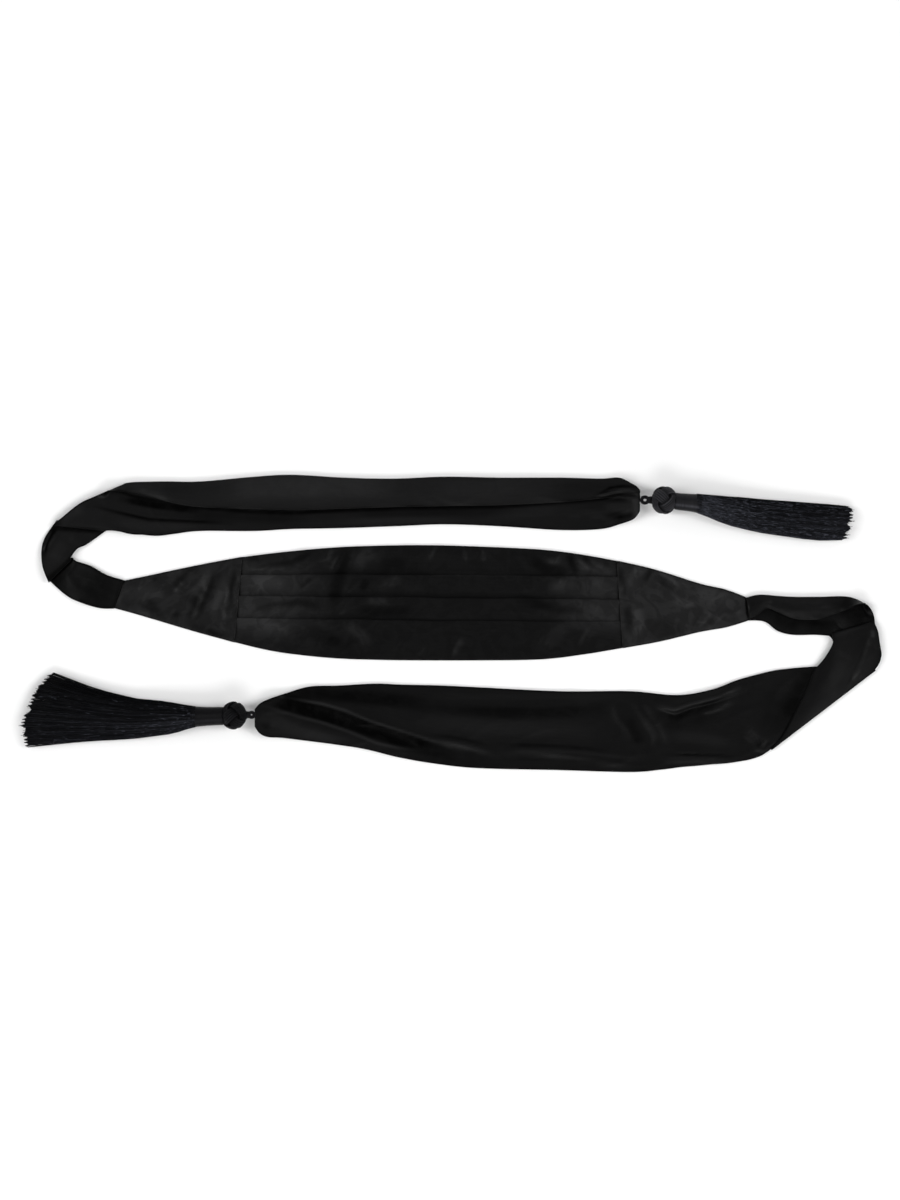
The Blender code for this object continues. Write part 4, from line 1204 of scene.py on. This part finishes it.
class TieGrid:
    """A tie's lines, one after another, with how freely its creases may lift each of them."""

    def __init__(self):
        self.lines = []
        self.free = []
        self.walls = []

    def lay(self, rows, start_level, end_level, settle=1.0, tucks=(True, True)):
        """A stretch whose level eases from one height to another over the length settle."""
        middles = [Vector((r.outer_x + r.inner_x, r.outer_y + r.inner_y)) / 2 for r in rows]
        lengths = [0.0]
        for before, after in zip(middles, middles[1:]):
            lengths.append(lengths[-1] + (after - before).length)
        for row, length in zip(rows, lengths):
            level = start_level + (end_level - start_level) * float(eased(length / settle))
            extra = (row.wall - TIE_WALL) / 2
            free = 1.0
            for tucked, distance in zip(tucks, (length, lengths[-1] - length)):
                if tucked:
                    free *= float(eased(distance / CREASE_FADE))
            self.lines.append(tie_line(row, level + extra))
            self.free.append(free)
            self.walls.append(max(extra, 0.0))

    def tuck(self, row, forward_row, low, high, bulge):
        """A half turn about one line of the tie, from the height low to the height high."""
        outer_x, outer_y, inner_x, inner_y = (b - a for a, b in zip(row[:4], forward_row[:4]))
        outer_way = Vector((outer_x, outer_y)).normalized()
        inner_way = Vector((inner_x, inner_y)).normalized()
        start = -1 if high > low else 1
        level_row = row._replace(lift=0.0)
        for shift, height in half_turn((0.0, (low + high) / 2), abs(high - low) / 2, start, bulge):
            self.lines.append(tie_line(moved(level_row, outer_way, inner_way, shift), height))
            self.free.append(0.0)
            self.walls.append(0.0)

    def cloth(self, name, creases, pucker_slant, tone, sheen, material):
        points = np.array(self.lines)
        steps = np.linalg.norm(np.diff(points, axis=0), axis=2).max(axis=1)
        kept = np.concatenate([[True], steps > SAME_LINE])
        points = points[kept]
        free = np.array(self.free)[kept][:, None]
        half = TIE_HALF + np.array(self.walls)[kept][:, None]
        x, y = points[:, :, 0], points[:, :, 1]
        lift = stroke_sum(x, y, creases)
        lift = lift + pucker_lift(x, y, height=0.45, scale=22.0, slant=pucker_slant)
        points[:, :, 2] = np.maximum(points[:, :, 2] + lift * free, half + GROUND_CLEARANCE)
        along = run_length(points, 0).mean(axis=1, keepdims=True)
        dip = seam_dip(along)
        points[:, :, 2] *= dip
        # Painted light and shade on the tie: its base grey, its strokes, and painted shade at its seam.
        grey = tone + stroke_sum(x, y, sheen, SHEEN_POWER) - seam_shade(along)
        return thick_cloth(name, points, half * dip, grey, material)


def layer_levels():
    """Heights of the middle of the first, second and third layer of a tie above the ground."""
    step = TIE_WALL + LAYER_GAP
    return [GROUND_GAP + TIE_WALL / 2 + step * layer for layer in range(3)]


def make_left_tie(material):
    """Two tucks take up the inside of the turn: each stretch starts on top of the last one."""
    first, second, third = layer_levels()
    start, turn, run = map(smooth_rows, (LEFT_TIE_START, LEFT_TIE_TURN, LEFT_TIE_RUN))
    ahead = round(LEFT_TUCK_AHEAD / ROW_SPACING)
    grid = TieGrid()
    grid.lay(start, first, first, tucks=(False, True))
    grid.tuck(start[-1], turn[ahead], first, second, 1)
    grid.tuck(turn[0], turn[1], second, third, -1)
    grid.lay(turn[1:], third, first, settle=LEFT_TURN_SETTLE)
    grid.tuck(turn[-1], run[2 * ahead], first, second, 1)
    grid.tuck(run[0], run[1], second, third, -1)
    grid.lay(run[1:], third, first, settle=LEFT_RUN_SETTLE, tucks=(True, False))
    return grid.cloth(
        "left_tie_satin", LEFT_TIE_CREASES, 1.4, LEFT_TIE_PAINTED_GREY, LEFT_TIE_PAINTED_SHADING, material
    )


def make_right_tie(material):
    """One tuck at the top of the turn, and one fold along the slant, where it goes under."""
    first, second, third = layer_levels()
    start, turn, run = map(smooth_rows, (RIGHT_TIE_START, RIGHT_TIE_TURN, RIGHT_TIE_RUN))
    ahead = round(RIGHT_TUCK_AHEAD / ROW_SPACING)
    outside = moved(turn[-1], SLANT_OUTWARD, SLANT_OUTWARD)
    grid = TieGrid()
    grid.lay(start, first, first, tucks=(False, True))
    grid.tuck(start[-1], turn[ahead], first, second, 1)
    grid.tuck(turn[0], turn[1], second, third, -1)
    grid.lay(turn[1:-1], third, second, settle=RIGHT_TURN_SETTLE)
    grid.tuck(turn[-1], outside, second, first, 1)
    grid.lay(run[1:], first, first, tucks=(True, False))
    return grid.cloth(
        "right_tie_satin", RIGHT_TIE_CREASES, 1.7, RIGHT_TIE_PAINTED_GREY, RIGHT_TIE_PAINTED_SHADING, material
    )


def tube_grid(path, radius, sides, spin=0.0):
    """Rings of points along a path, for one cord or thread."""
    forward = unit(np.gradient(path, axis=0))
    side = np.cross(forward, np.array([0.0, 0.0, 1.0]))
    weak = np.linalg.norm(side, axis=1) < 0.2
    side[weak] = np.cross(forward[weak], np.array([0.0, 1.0, 0.0]))
    side = unit(side)
    top = np.cross(side, forward)
    angles = np.arange(sides) * math.tau / sides + spin
    radius = np.broadcast_to(radius, (len(path),))[:, None, None]
    ring = side[:, None] * np.cos(angles)[None, :, None] + top[:, None] * np.sin(angles)[None, :, None]
    return path[:, None] + ring * radius


class Bundle:
    """Many cords or threads gathered in one mesh."""

    def __init__(self, sides):
        self.sides = sides
        self.points = []
        self.places = []
        self.faces = []
        self.sheen = []
        self.count = 0

    def add(self, path, radius, tone, closed=False, spin=0.0, sheen=0.5):
        rows = len(path)
        lengths = np.concatenate([[0.0], np.cumsum(np.linalg.norm(np.diff(path, axis=0), axis=1))])
        places = np.empty((rows, self.sides, 2))
        places[:, :, 0] = tone + SIDE_SHARE * np.arange(self.sides)[None, :] / self.sides
        places[:, :, 1] = lengths[:, None]
        self.points.append(tube_grid(path, radius, self.sides, spin).reshape(-1, 3))
        self.places.append(places.reshape(-1, 2))
        self.sheen.append(np.repeat(np.broadcast_to(sheen, (rows,)), self.sides))
        self.faces += ring_faces(rows, self.sides, self.count, closed)
        if not closed:
            self.faces += end_faces(rows, self.sides, self.count)
        self.count += rows * self.sides

    def piece(self, name, material, sheen=None):
        points = np.concatenate(self.points)
        lit = np.concatenate(self.sheen) if sheen is None else sheen(points)
        return new_mesh(name, points, self.faces, np.concatenate(self.places), lit, material)


def on_ball(way, height):
    """A point on the knot's ball, which narrows towards its loop, at z = -1."""
    narrow = 1 - KNOT_NARROWING * np.clip(-way[:, 2:3], 0.0, 1.0) ** 2
    flat = np.full_like(narrow, KNOT_FLATNESS)
    return way * height * np.concatenate([narrow, narrow, flat], axis=1)


def make_knot(name, centre, heading, spin, painted_brightness, material):
    """A ball knot: five cords side by side go round as one, over and under themselves."""
    phase = np.arange(2 * KNOT_BIGHTS * LEG_SAMPLES) / LEG_SAMPLES
    crossing = KNOT_LEADS * (phase % 1.0)
    sign = np.where(np.floor(phase) % 2 == 0, (-1.0) ** KNOT_LEADS, -1.0)
    over = sign * np.cos(math.pi * crossing)
    over[(crossing < 0.5) | (crossing > KNOT_LEADS - 0.5)] = 0.0
    over = np.tanh(CROSSING_STEEPNESS * over) / math.tanh(CROSSING_STEEPNESS)
    rise = KNOT_REACH * np.sin(math.pi * (phase - 0.5))
    round_angle = KNOT_LEADS * math.pi * (phase - 0.5) / KNOT_BIGHTS + spin
    flat = np.cos(rise)
    way = np.stack([flat * np.cos(round_angle), flat * np.sin(round_angle), np.sin(rise)], axis=1)
    heading_way = unit(np.roll(way, -1, axis=0) - np.roll(way, 1, axis=0))
    side = np.cross(heading_way, way)
    top = KNOT_RADIUS - CORD_RADIUS
    height = (top - CORD_RADIUS + CORD_RADIUS * over)[:, None]
    forward = (math.cos(heading), math.sin(heading), 0.0)
    sideways = (-math.sin(heading), math.cos(heading), 0.0)
    turned = np.stack([sideways, (0.0, 0.0, 1.0), forward])
    bundle = Bundle(KNOT_SIDES)
    for cord in range(KNOT_CORDS):
        offset = (cord - (KNOT_CORDS - 1) / 2) * CORD_PITCH / KNOT_RADIUS
        path = on_ball(unit(way + side * offset), height)
        bundle.add(path @ turned + centre, CORD_RADIUS, cord * 3.0, closed=True)
    core = top - CORE_DEPTH * CORD_RADIUS
    coils = math.pi * core / CORE_PITCH
    around = np.linspace(0.0, 1.0, int(coils * COIL_SAMPLES))
    polar = math.pi * (0.02 + 0.96 * around)
    spiral = math.tau * coils * around
    flat = np.sin(polar)
    way = np.stack([flat * np.cos(spiral), flat * np.sin(spiral), -np.cos(polar)], axis=1)
    bundle.add(on_ball(way, core) @ turned + centre, CORD_RADIUS, 40.0)

    def outside(points):
        """Cords are painted lightest along their crests and where they lie over others, with painted
        shade in the grooves between them and where they go under.
        """
        local = (points - centre) @ turned.T
        full = np.linalg.norm(on_ball(unit(local), 1.0), axis=1)
        far = np.linalg.norm(local, axis=1) / full
        rest = np.full(len(points), core)
        plaited = np.tile(np.repeat(height.ravel(), KNOT_SIDES), KNOT_CORDS)
        rest[: len(plaited)] = plaited
        crest = np.clip((far - rest) / CORD_RADIUS * 0.5 + 0.5, 0.0, 1.0)
        level = np.clip((rest - core) / (top - core), 0.0, 1.0)
        return painted_brightness * (0.02 + 0.98 * crest**6) * (0.25 + 0.75 * level)

    return bundle.piece(name, material, outside)


def make_loop(name, centre, reach, heading, material):
    """A ring of three-ply cord, whose ends cross before they go into the knot."""
    turned = Matrix.Rotation(heading, 3, "Z") @ Matrix.Rotation(-LOOP_LEAN, 3, "Y")
    turned = np.array(turned).T
    angle = np.arange(LOOP_SAMPLES) / LOOP_SAMPLES * math.tau
    length, width = reach
    ring = np.stack([length * np.cos(angle), width * np.sin(angle), 0 * angle], axis=1)
    outward = unit(np.stack([width * np.cos(angle), length * np.sin(angle), 0 * angle], axis=1))
    bundle = Bundle(LOOP_SIDES)
    for ply in range(LOOP_PLIES):
        twist = angle * LOOP_TWISTS + ply * math.tau / LOOP_PLIES
        path = ring + LOOP_PLY * outward * np.cos(twist)[:, None]
        path[:, 2] += LOOP_PLY * np.sin(twist)
        bundle.add(path @ turned + centre, LOOP_PLY, ply * 2.0, closed=True, sheen=LOOP_SHEEN)
    share = np.linspace(0.0, 1.0, END_SAMPLES)
    along = length - END_OVERLAP + END_LENGTH * share
    size = END_SIZE + END_SPLAY * share
    for ply in range(LOOP_PLIES):
        twist = share * math.tau * END_TWISTS + ply * math.tau / LOOP_PLIES
        cross = np.stack([along, size * np.cos(twist), size * np.sin(twist)], axis=1)
        bundle.add(cross @ turned + centre, LOOP_PLY, 9.0 + ply, sheen=LOOP_SHEEN)
    return bundle.piece(name, material)


def in_tassel(across, height, row, table):
    """Points of the plain tassel, from -1 to 1 both ways and by rows, set into the real one."""
    index = np.arange(len(table))
    here = [np.interp(row, index, column) for column in np.array(table).T]
    top_x, top_y, bottom_x, bottom_y, low, high = here
    width_share = (across + 1) / 2
    x = bottom_x + (top_x - bottom_x) * width_share
    y = bottom_y + (top_y - bottom_y) * width_share
    return np.stack([x, y, low + (high - low) * (height + 1) / 2], axis=-1)


def round_body(rows, radii, around, table):
    """A closed round body in a tassel: a ring of points at each row, with its ripples."""
    across = np.cos(around)[None, :] * radii
    height = np.sin(around)[None, :] * radii
    return in_tassel(across, height, np.repeat(rows[:, None], len(around), axis=1), table)


def tube_faces(rows, sides):
    return ring_faces(rows, sides) + end_faces(rows, sides)


def make_neck(name, table, sheen, material):
    """The tassel's neck, wound tightly with fine thread, that starts inside the knot."""
    inset = math.copysign(NECK_INSET, table[1].top_x - table[0].top_x)
    first = table[0]
    first = first._replace(top_x=first.top_x - inset, bottom_x=first.bottom_x - inset)
    table = [first] + table[1:]
    length = abs(table[1].top_x - table[0].top_x) * NECK_REACH
    count = int(length / THREAD_PITCH * NECK_SAMPLES)
    along = np.linspace(0.0, 1.0, count)
    around = np.arange(NECK_SIDES) / NECK_SIDES * math.tau
    turns = along[:, None] * length / THREAD_PITCH + around[None, :] / math.tau
    ripple = np.abs(np.sin(math.pi * turns)) * THREAD_RIDGE
    ends = rounded(np.minimum(along, 1 - along) * NECK_ROUNDING)
    ends = NECK_END_SIZE + (1 - NECK_END_SIZE) * ends
    waist = 1 - NECK_WAIST * np.sin(math.pi * along)
    radii = (ripple + NECK_SIZE) * waist[:, None] * ends[:, None]
    points = round_body(along * NECK_REACH, radii, around, table)
    places = np.stack([turns, np.broadcast_to(around * 9.5, turns.shape)], axis=2)
    # Painted highlight: bands of painted light round the neck.
    lit = np.full(NECK_SIDES, NECK_SHADE)
    for middle, width, strength in NECK_BANDS:
        lit += strength * np.exp(-(((np.cos(around) - middle) / width) ** 2))
    lit = sheen * np.broadcast_to(lit, turns.shape).ravel()
    return new_mesh(name, points, tube_faces(count, NECK_SIDES), places, lit, material)


def make_skirt_body(name, table, material):
    """The close mass of threads inside a skirt, ribbed lengthwise."""
    along = np.linspace(0.0, 1.0, BODY_ROWS)
    around = np.arange(BODY_SIDES) / BODY_SIDES * math.tau
    ribs = 1 + 0.035 * np.sin(around * 23 + 1.0)[None, :] * np.sin(along * 2.2 + 0.4)[:, None]
    ribs = ribs + 0.02 * np.sin(around * 37 + along[:, None] * 3.0)
    end = BODY_END_SIZE + (1 - BODY_END_SIZE) * rounded((1 - along) * BODY_ROUNDING)
    radii = ribs * BODY_SIZE * end[:, None]
    rows = BODY_START + (len(table) - 1 - BODY_START - BODY_STOP) * along
    points = round_body(rows, radii, around, table)
    points[:, :, 2] = np.maximum(points[:, :, 2], BODY_CLEARANCE)
    places = np.stack(np.broadcast_arrays(around * 40, along[:, None] * 180), axis=2)
    return new_mesh(name, points, tube_faces(BODY_ROWS, BODY_SIDES), places, BODY_SHEEN, material)


def add_threads(bundle, chance, table, end_line, seed, painted_brightness):
    """Threads that gather in uneven locks, cut off unevenly along the skirt's end."""
    lock_angle = chance.uniform(0.0, math.tau, LOCKS)
    lock_size = np.sqrt(chance.uniform(*LOCK_SPREAD, LOCKS))
    lock_place = np.stack([np.cos(lock_angle), np.sin(lock_angle)], axis=1) * lock_size[:, None]
    lock_pull = chance.uniform(*LOCK_PULL, LOCKS)
    lock_cut = chance.uniform(*LOCK_CUT, LOCKS)
    share = np.linspace(0.0, 1.0, THREAD_SAMPLES)
    rows = SKIRT_START + (len(table) - 1 - SKIRT_START) * share
    painted_neck_glow = 1.0 + NECK_GLOW * np.exp(-((share - 0.12) / 0.3) ** 2)
    line_y, line_x = np.array(end_line, dtype=float).T
    way = math.copysign(1.0, line_x[0])
    for thread in range(THREADS):
        angle = chance.uniform(0.0, math.tau)
        size = math.sqrt(chance.uniform(*ROOT_SPREAD))
        root = np.array([math.cos(angle), math.sin(angle)]) * size
        lock = int(np.argmin(((lock_place - root) ** 2).sum(axis=1)))
        tip = root * (1 - lock_pull[lock]) + lock_place[lock] * lock_pull[lock]
        tip = tip + chance.normal(0.0, TIP_SPREAD, 2)
        wave = chance.normal(0.0, THREAD_WAVE if thread % STRAY_EVERY else STRAY_WAVE, 2)
        turns = chance.uniform(*THREAD_TURNS)
        start = chance.uniform(0.0, math.tau)
        swing = np.sin(share * turns * math.tau + start) - math.sin(start)
        across, height = (
            first + (end - first) * share**GATHER_POWER + sway * swing * share
            for first, end, sway in zip(root, tip, wave)
        )
        across = np.clip(across, -1.0, 1.0)
        path = in_tassel(across, np.clip(height, *HEIGHT_LIMITS), rows, table)
        end_y = path[-1, 1]
        off = math.hypot(*(lock_place[lock] - root))
        teeth = abs(math.sin(0.6 * end_y + 1.5 * math.sin(0.29 * end_y + seed)))
        cut = chance.uniform(*THREAD_CUT) + lock_cut[lock] + CUT_OFF_LOCK * off
        cut += CUT_TEETH * teeth**TEETH_POWER
        if chance.uniform() < LONG_SHARE:
            cut -= LONGER_BY
        end_x = float(np.interp(end_y, line_y, line_x)) - way * cut
        stretch = (end_x - path[0, 0]) / (path[-1, 0] - path[0, 0])
        path[:, 0] = path[0, 0] + (path[:, 0] - path[0, 0]) * stretch
        path[:, 2] = np.maximum(path[:, 2], BRIGHT_RADIUS + GROUND_CLEARANCE)
        # Painted light: threads on the skirt's lower side and near its neck are painted lighter, and a
        # few bright strands carry painted glints.
        painted_low_side_light = 0.45 + 1.2 * ((1.0 - across) / 2) ** 1.5
        bright = chance.uniform() < BRIGHT_SHARE
        strand = BRIGHT_SHEEN if bright else chance.uniform(*THREAD_SHEEN)
        sheen = np.clip(painted_brightness * strand * painted_low_side_light * painted_neck_glow, 0.0, 1.0)
        radius = BRIGHT_RADIUS if bright else THREAD_RADIUS
        bundle.add(path, radius, float(thread), spin=start, sheen=sheen)


def add_glints(bundle, chance, table, glints, pull, painted_brightness):
    """Painted glints: short stretches of thread on top of the skirt, painted bright, and a few long
    ones.
    """
    along = np.linspace(0.0, 1.0, GLINT_SAMPLES)
    for glint in range(glints):
        long = glint % LONG_GLINT_EVERY == 0
        reach = chance.uniform(*(LONG_GLINT_LENGTH if long else GLINT_LENGTH))
        first = 0.04 + 0.9 * chance.uniform() ** 1.7
        share = np.linspace(first, min(first + reach, 0.97), GLINT_SAMPLES)
        drift = chance.normal(0.0, LONG_GLINT_DRIFT if long else GLINT_DRIFT) * along
        across = np.clip(1.85 * chance.uniform() ** pull - 0.95 + drift, -0.97, 0.97)
        height = (np.sqrt(1 - across**2) + 0.03) * (1 - 0.12 * share)
        rows = SKIRT_START + (len(table) - 1 - SKIRT_START) * share
        path = in_tassel(across, height, rows, table)
        sheen = painted_brightness * chance.uniform(0.4, 1.0)
        bundle.add(path, GLINT_RADIUS, float(glint), spin=0.5, sheen=sheen)


def make_skirt(name, table, end_line, seed, painted_brightness, glints, glint_pull, glint_sheen, material):
    """Some fifteen hundred threads in uneven locks, with their painted glints."""
    chance = np.random.default_rng(seed)
    bundle = Bundle(3)
    add_threads(bundle, chance, table, end_line, seed, painted_brightness)
    add_glints(bundle, chance, table, glints, glint_pull, glint_sheen)
    return bundle.piece(name, material)


panel_satin = satin("panel satin", roughness=0.34, crinkle=0.2, sheen_patchiness=0.2)
pleat_satin = satin("pleat satin", roughness=0.34, crinkle=0.2, sheen_patchiness=0.18)
tie_satin = satin("tie satin", roughness=0.36, crinkle=0.12, sheen_patchiness=0.06)
cord = threads(
    "plaited cord", (0.05, 0.05, 0.056), roughness=0.42, gloss=0.05, twist_length=0.9, twist_depth=0.05
)
wound = threads(
    "wound thread", (0.045, 0.045, 0.052), roughness=0.34, gloss=0.06, twist_length=0.7, twist_depth=0.01
)
fringe = threads(
    "tassel thread", (0.05, 0.053, 0.066), roughness=0.4, gloss=0.06, twist_length=0.8, twist_depth=0.02,
    glints=6.0,
)

front = make_front(pleat_satin)
left_panel = make_side_panel(
    "left_side_panel_satin", LEFT_PANEL, -SEAM_GAP, LEFT_PANEL_CREASES, 0.9,
    PANEL_PAINTED_GREY, LEFT_PANEL_PAINTED_SHADING, panel_satin,
)
right_panel = make_side_panel(
    "right_side_panel_satin", RIGHT_PANEL, SEAM_GAP, RIGHT_PANEL_CREASES, -0.8,
    RIGHT_PANEL_PAINTED_GREY, RIGHT_PANEL_PAINTED_SHADING, panel_satin,
)
left_tie = make_left_tie(tie_satin)
right_tie = make_right_tie(tie_satin)
left_loop = make_loop("left_cord_loop", LEFT_LOOP, LEFT_LOOP_REACH, math.pi, cord)
right_loop = make_loop("right_cord_loop", RIGHT_LOOP, RIGHT_LOOP_REACH, 0.0, cord)
# The left knot is painted much darker than the right, as painted shade.
left_knot = make_knot(
    "left_ball_knot", LEFT_KNOT, heading=math.pi, spin=1.1, painted_brightness=0.17, material=cord
)
right_knot = make_knot(
    "right_ball_knot", RIGHT_KNOT, heading=math.radians(-6), spin=0.0, painted_brightness=0.9, material=cord
)
# The necks' painted light: the left one less than the right.
left_neck = make_neck("left_tassel_neck", LEFT_TASSEL, 0.085, wound)
right_neck = make_neck("right_tassel_neck", RIGHT_TASSEL, 0.34, wound)
left_body = make_skirt_body("left_tassel_body", LEFT_TASSEL, fringe)
right_body = make_skirt_body("right_tassel_body", RIGHT_TASSEL, fringe)
# The skirts' threads and glints are painted darker on the left than on the right.
left_skirt = make_skirt(
    "left_tassel_threads", LEFT_TASSEL, LEFT_SKIRT_END, seed=11, painted_brightness=0.085,
    glints=320, glint_pull=2.4, glint_sheen=0.45, material=fringe,
)
right_skirt = make_skirt(
    "right_tassel_threads", RIGHT_TASSEL, RIGHT_SKIRT_END, seed=12, painted_brightness=0.17,
    glints=1000, glint_pull=1.25, glint_sheen=0.78, material=fringe,
)

for piece, node, slot in (
    (front, "front_panel", "pleat_satin"),
    (left_panel, "side_panel_left", "panel_satin"),
    (right_panel, "side_panel_right", "panel_satin"),
    (left_tie, "tie_left", "tie_satin"),
    (right_tie, "tie_right", "tie_satin"),
    (left_loop, "loop_left", "cord"),
    (right_loop, "loop_right", "cord"),
    (left_knot, "knot_left", "cord"),
    (right_knot, "knot_right", "cord"),
    (left_neck, "tassel_left", "tassel_thread"),
    (right_neck, "tassel_right", "tassel_thread"),
    (left_body, "tassel_left", "tassel_thread"),
    (right_body, "tassel_right", "tassel_thread"),
    (left_skirt, "tassel_left", "tassel_thread"),
    (right_skirt, "tassel_right", "tassel_thread"),
):
    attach(piece, BODY)
    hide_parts(node)

bpy.ops.object.select_all(action="DESELECT")
bpy.ops.mesh.primitive_plane_add(size=9.0, location=(0.0, 0.0, -0.0004))
floor = bpy.context.object
floor.name = "studio_floor"
material, shader, finish = new_finish("pale floor", Roughness=0.9)
place = finish.add("ShaderNodeTexCoord").output("Object")
pale = finish.shaded(finish.clouds(place, 3.0), (0.87, 0.87, 0.87), (0.9, 0.9, 0.9))
finish.feed(shader.inputs["Base Color"], pale)
floor.data.materials.append(material)

for name, size, place, power in (
    ("front softbox", (3.0, 1.3), (0.0, -2.9, 2.5), 52.0),
    ("left softbox", (1.4, 2.8), (-3.0, 0.2, 2.6), 78.0),
    ("right softbox", (1.4, 2.8), (3.0, 0.2, 2.6), 78.0),
):
    light = bpy.data.lights.new(name, "AREA")
    light.shape = "RECTANGLE"
    light.size, light.size_y = size
    light.energy = power
    lamp = bpy.data.objects.new(name, light)
    bpy.context.scene.collection.objects.link(lamp)
    lamp.location = place
    lamp.rotation_euler = (Vector() - Vector(place)).to_track_quat("-Z", "Y").to_euler()

world = bpy.data.worlds.new("studio")
world.use_nodes = True
bpy.context.scene.world = world
sky = Finish(world.node_tree)
background = world.node_tree.nodes["Background"]
direction = sky.add("ShaderNodeTexCoord").output("Generated")
height = sky.split(direction).output("Z")
sky.feed(background.inputs["Color"], sky.ramp(height, (0.66, 0.75), (0.8, 0.03)))
background.inputs["Strength"].default_value = 1.0

camera = bpy.data.objects.new("camera", bpy.data.cameras.new("camera"))
bpy.context.scene.collection.objects.link(camera)
camera.data.lens = 85.0
camera.data.sensor_width = 36.0
camera.location = (0.0, 0.02415, 2.975)
camera.rotation_euler = (0.0, 0.0, 0.0)
bpy.context.scene.camera = camera
bpy.context.scene.view_settings.view_transform = "Standard"
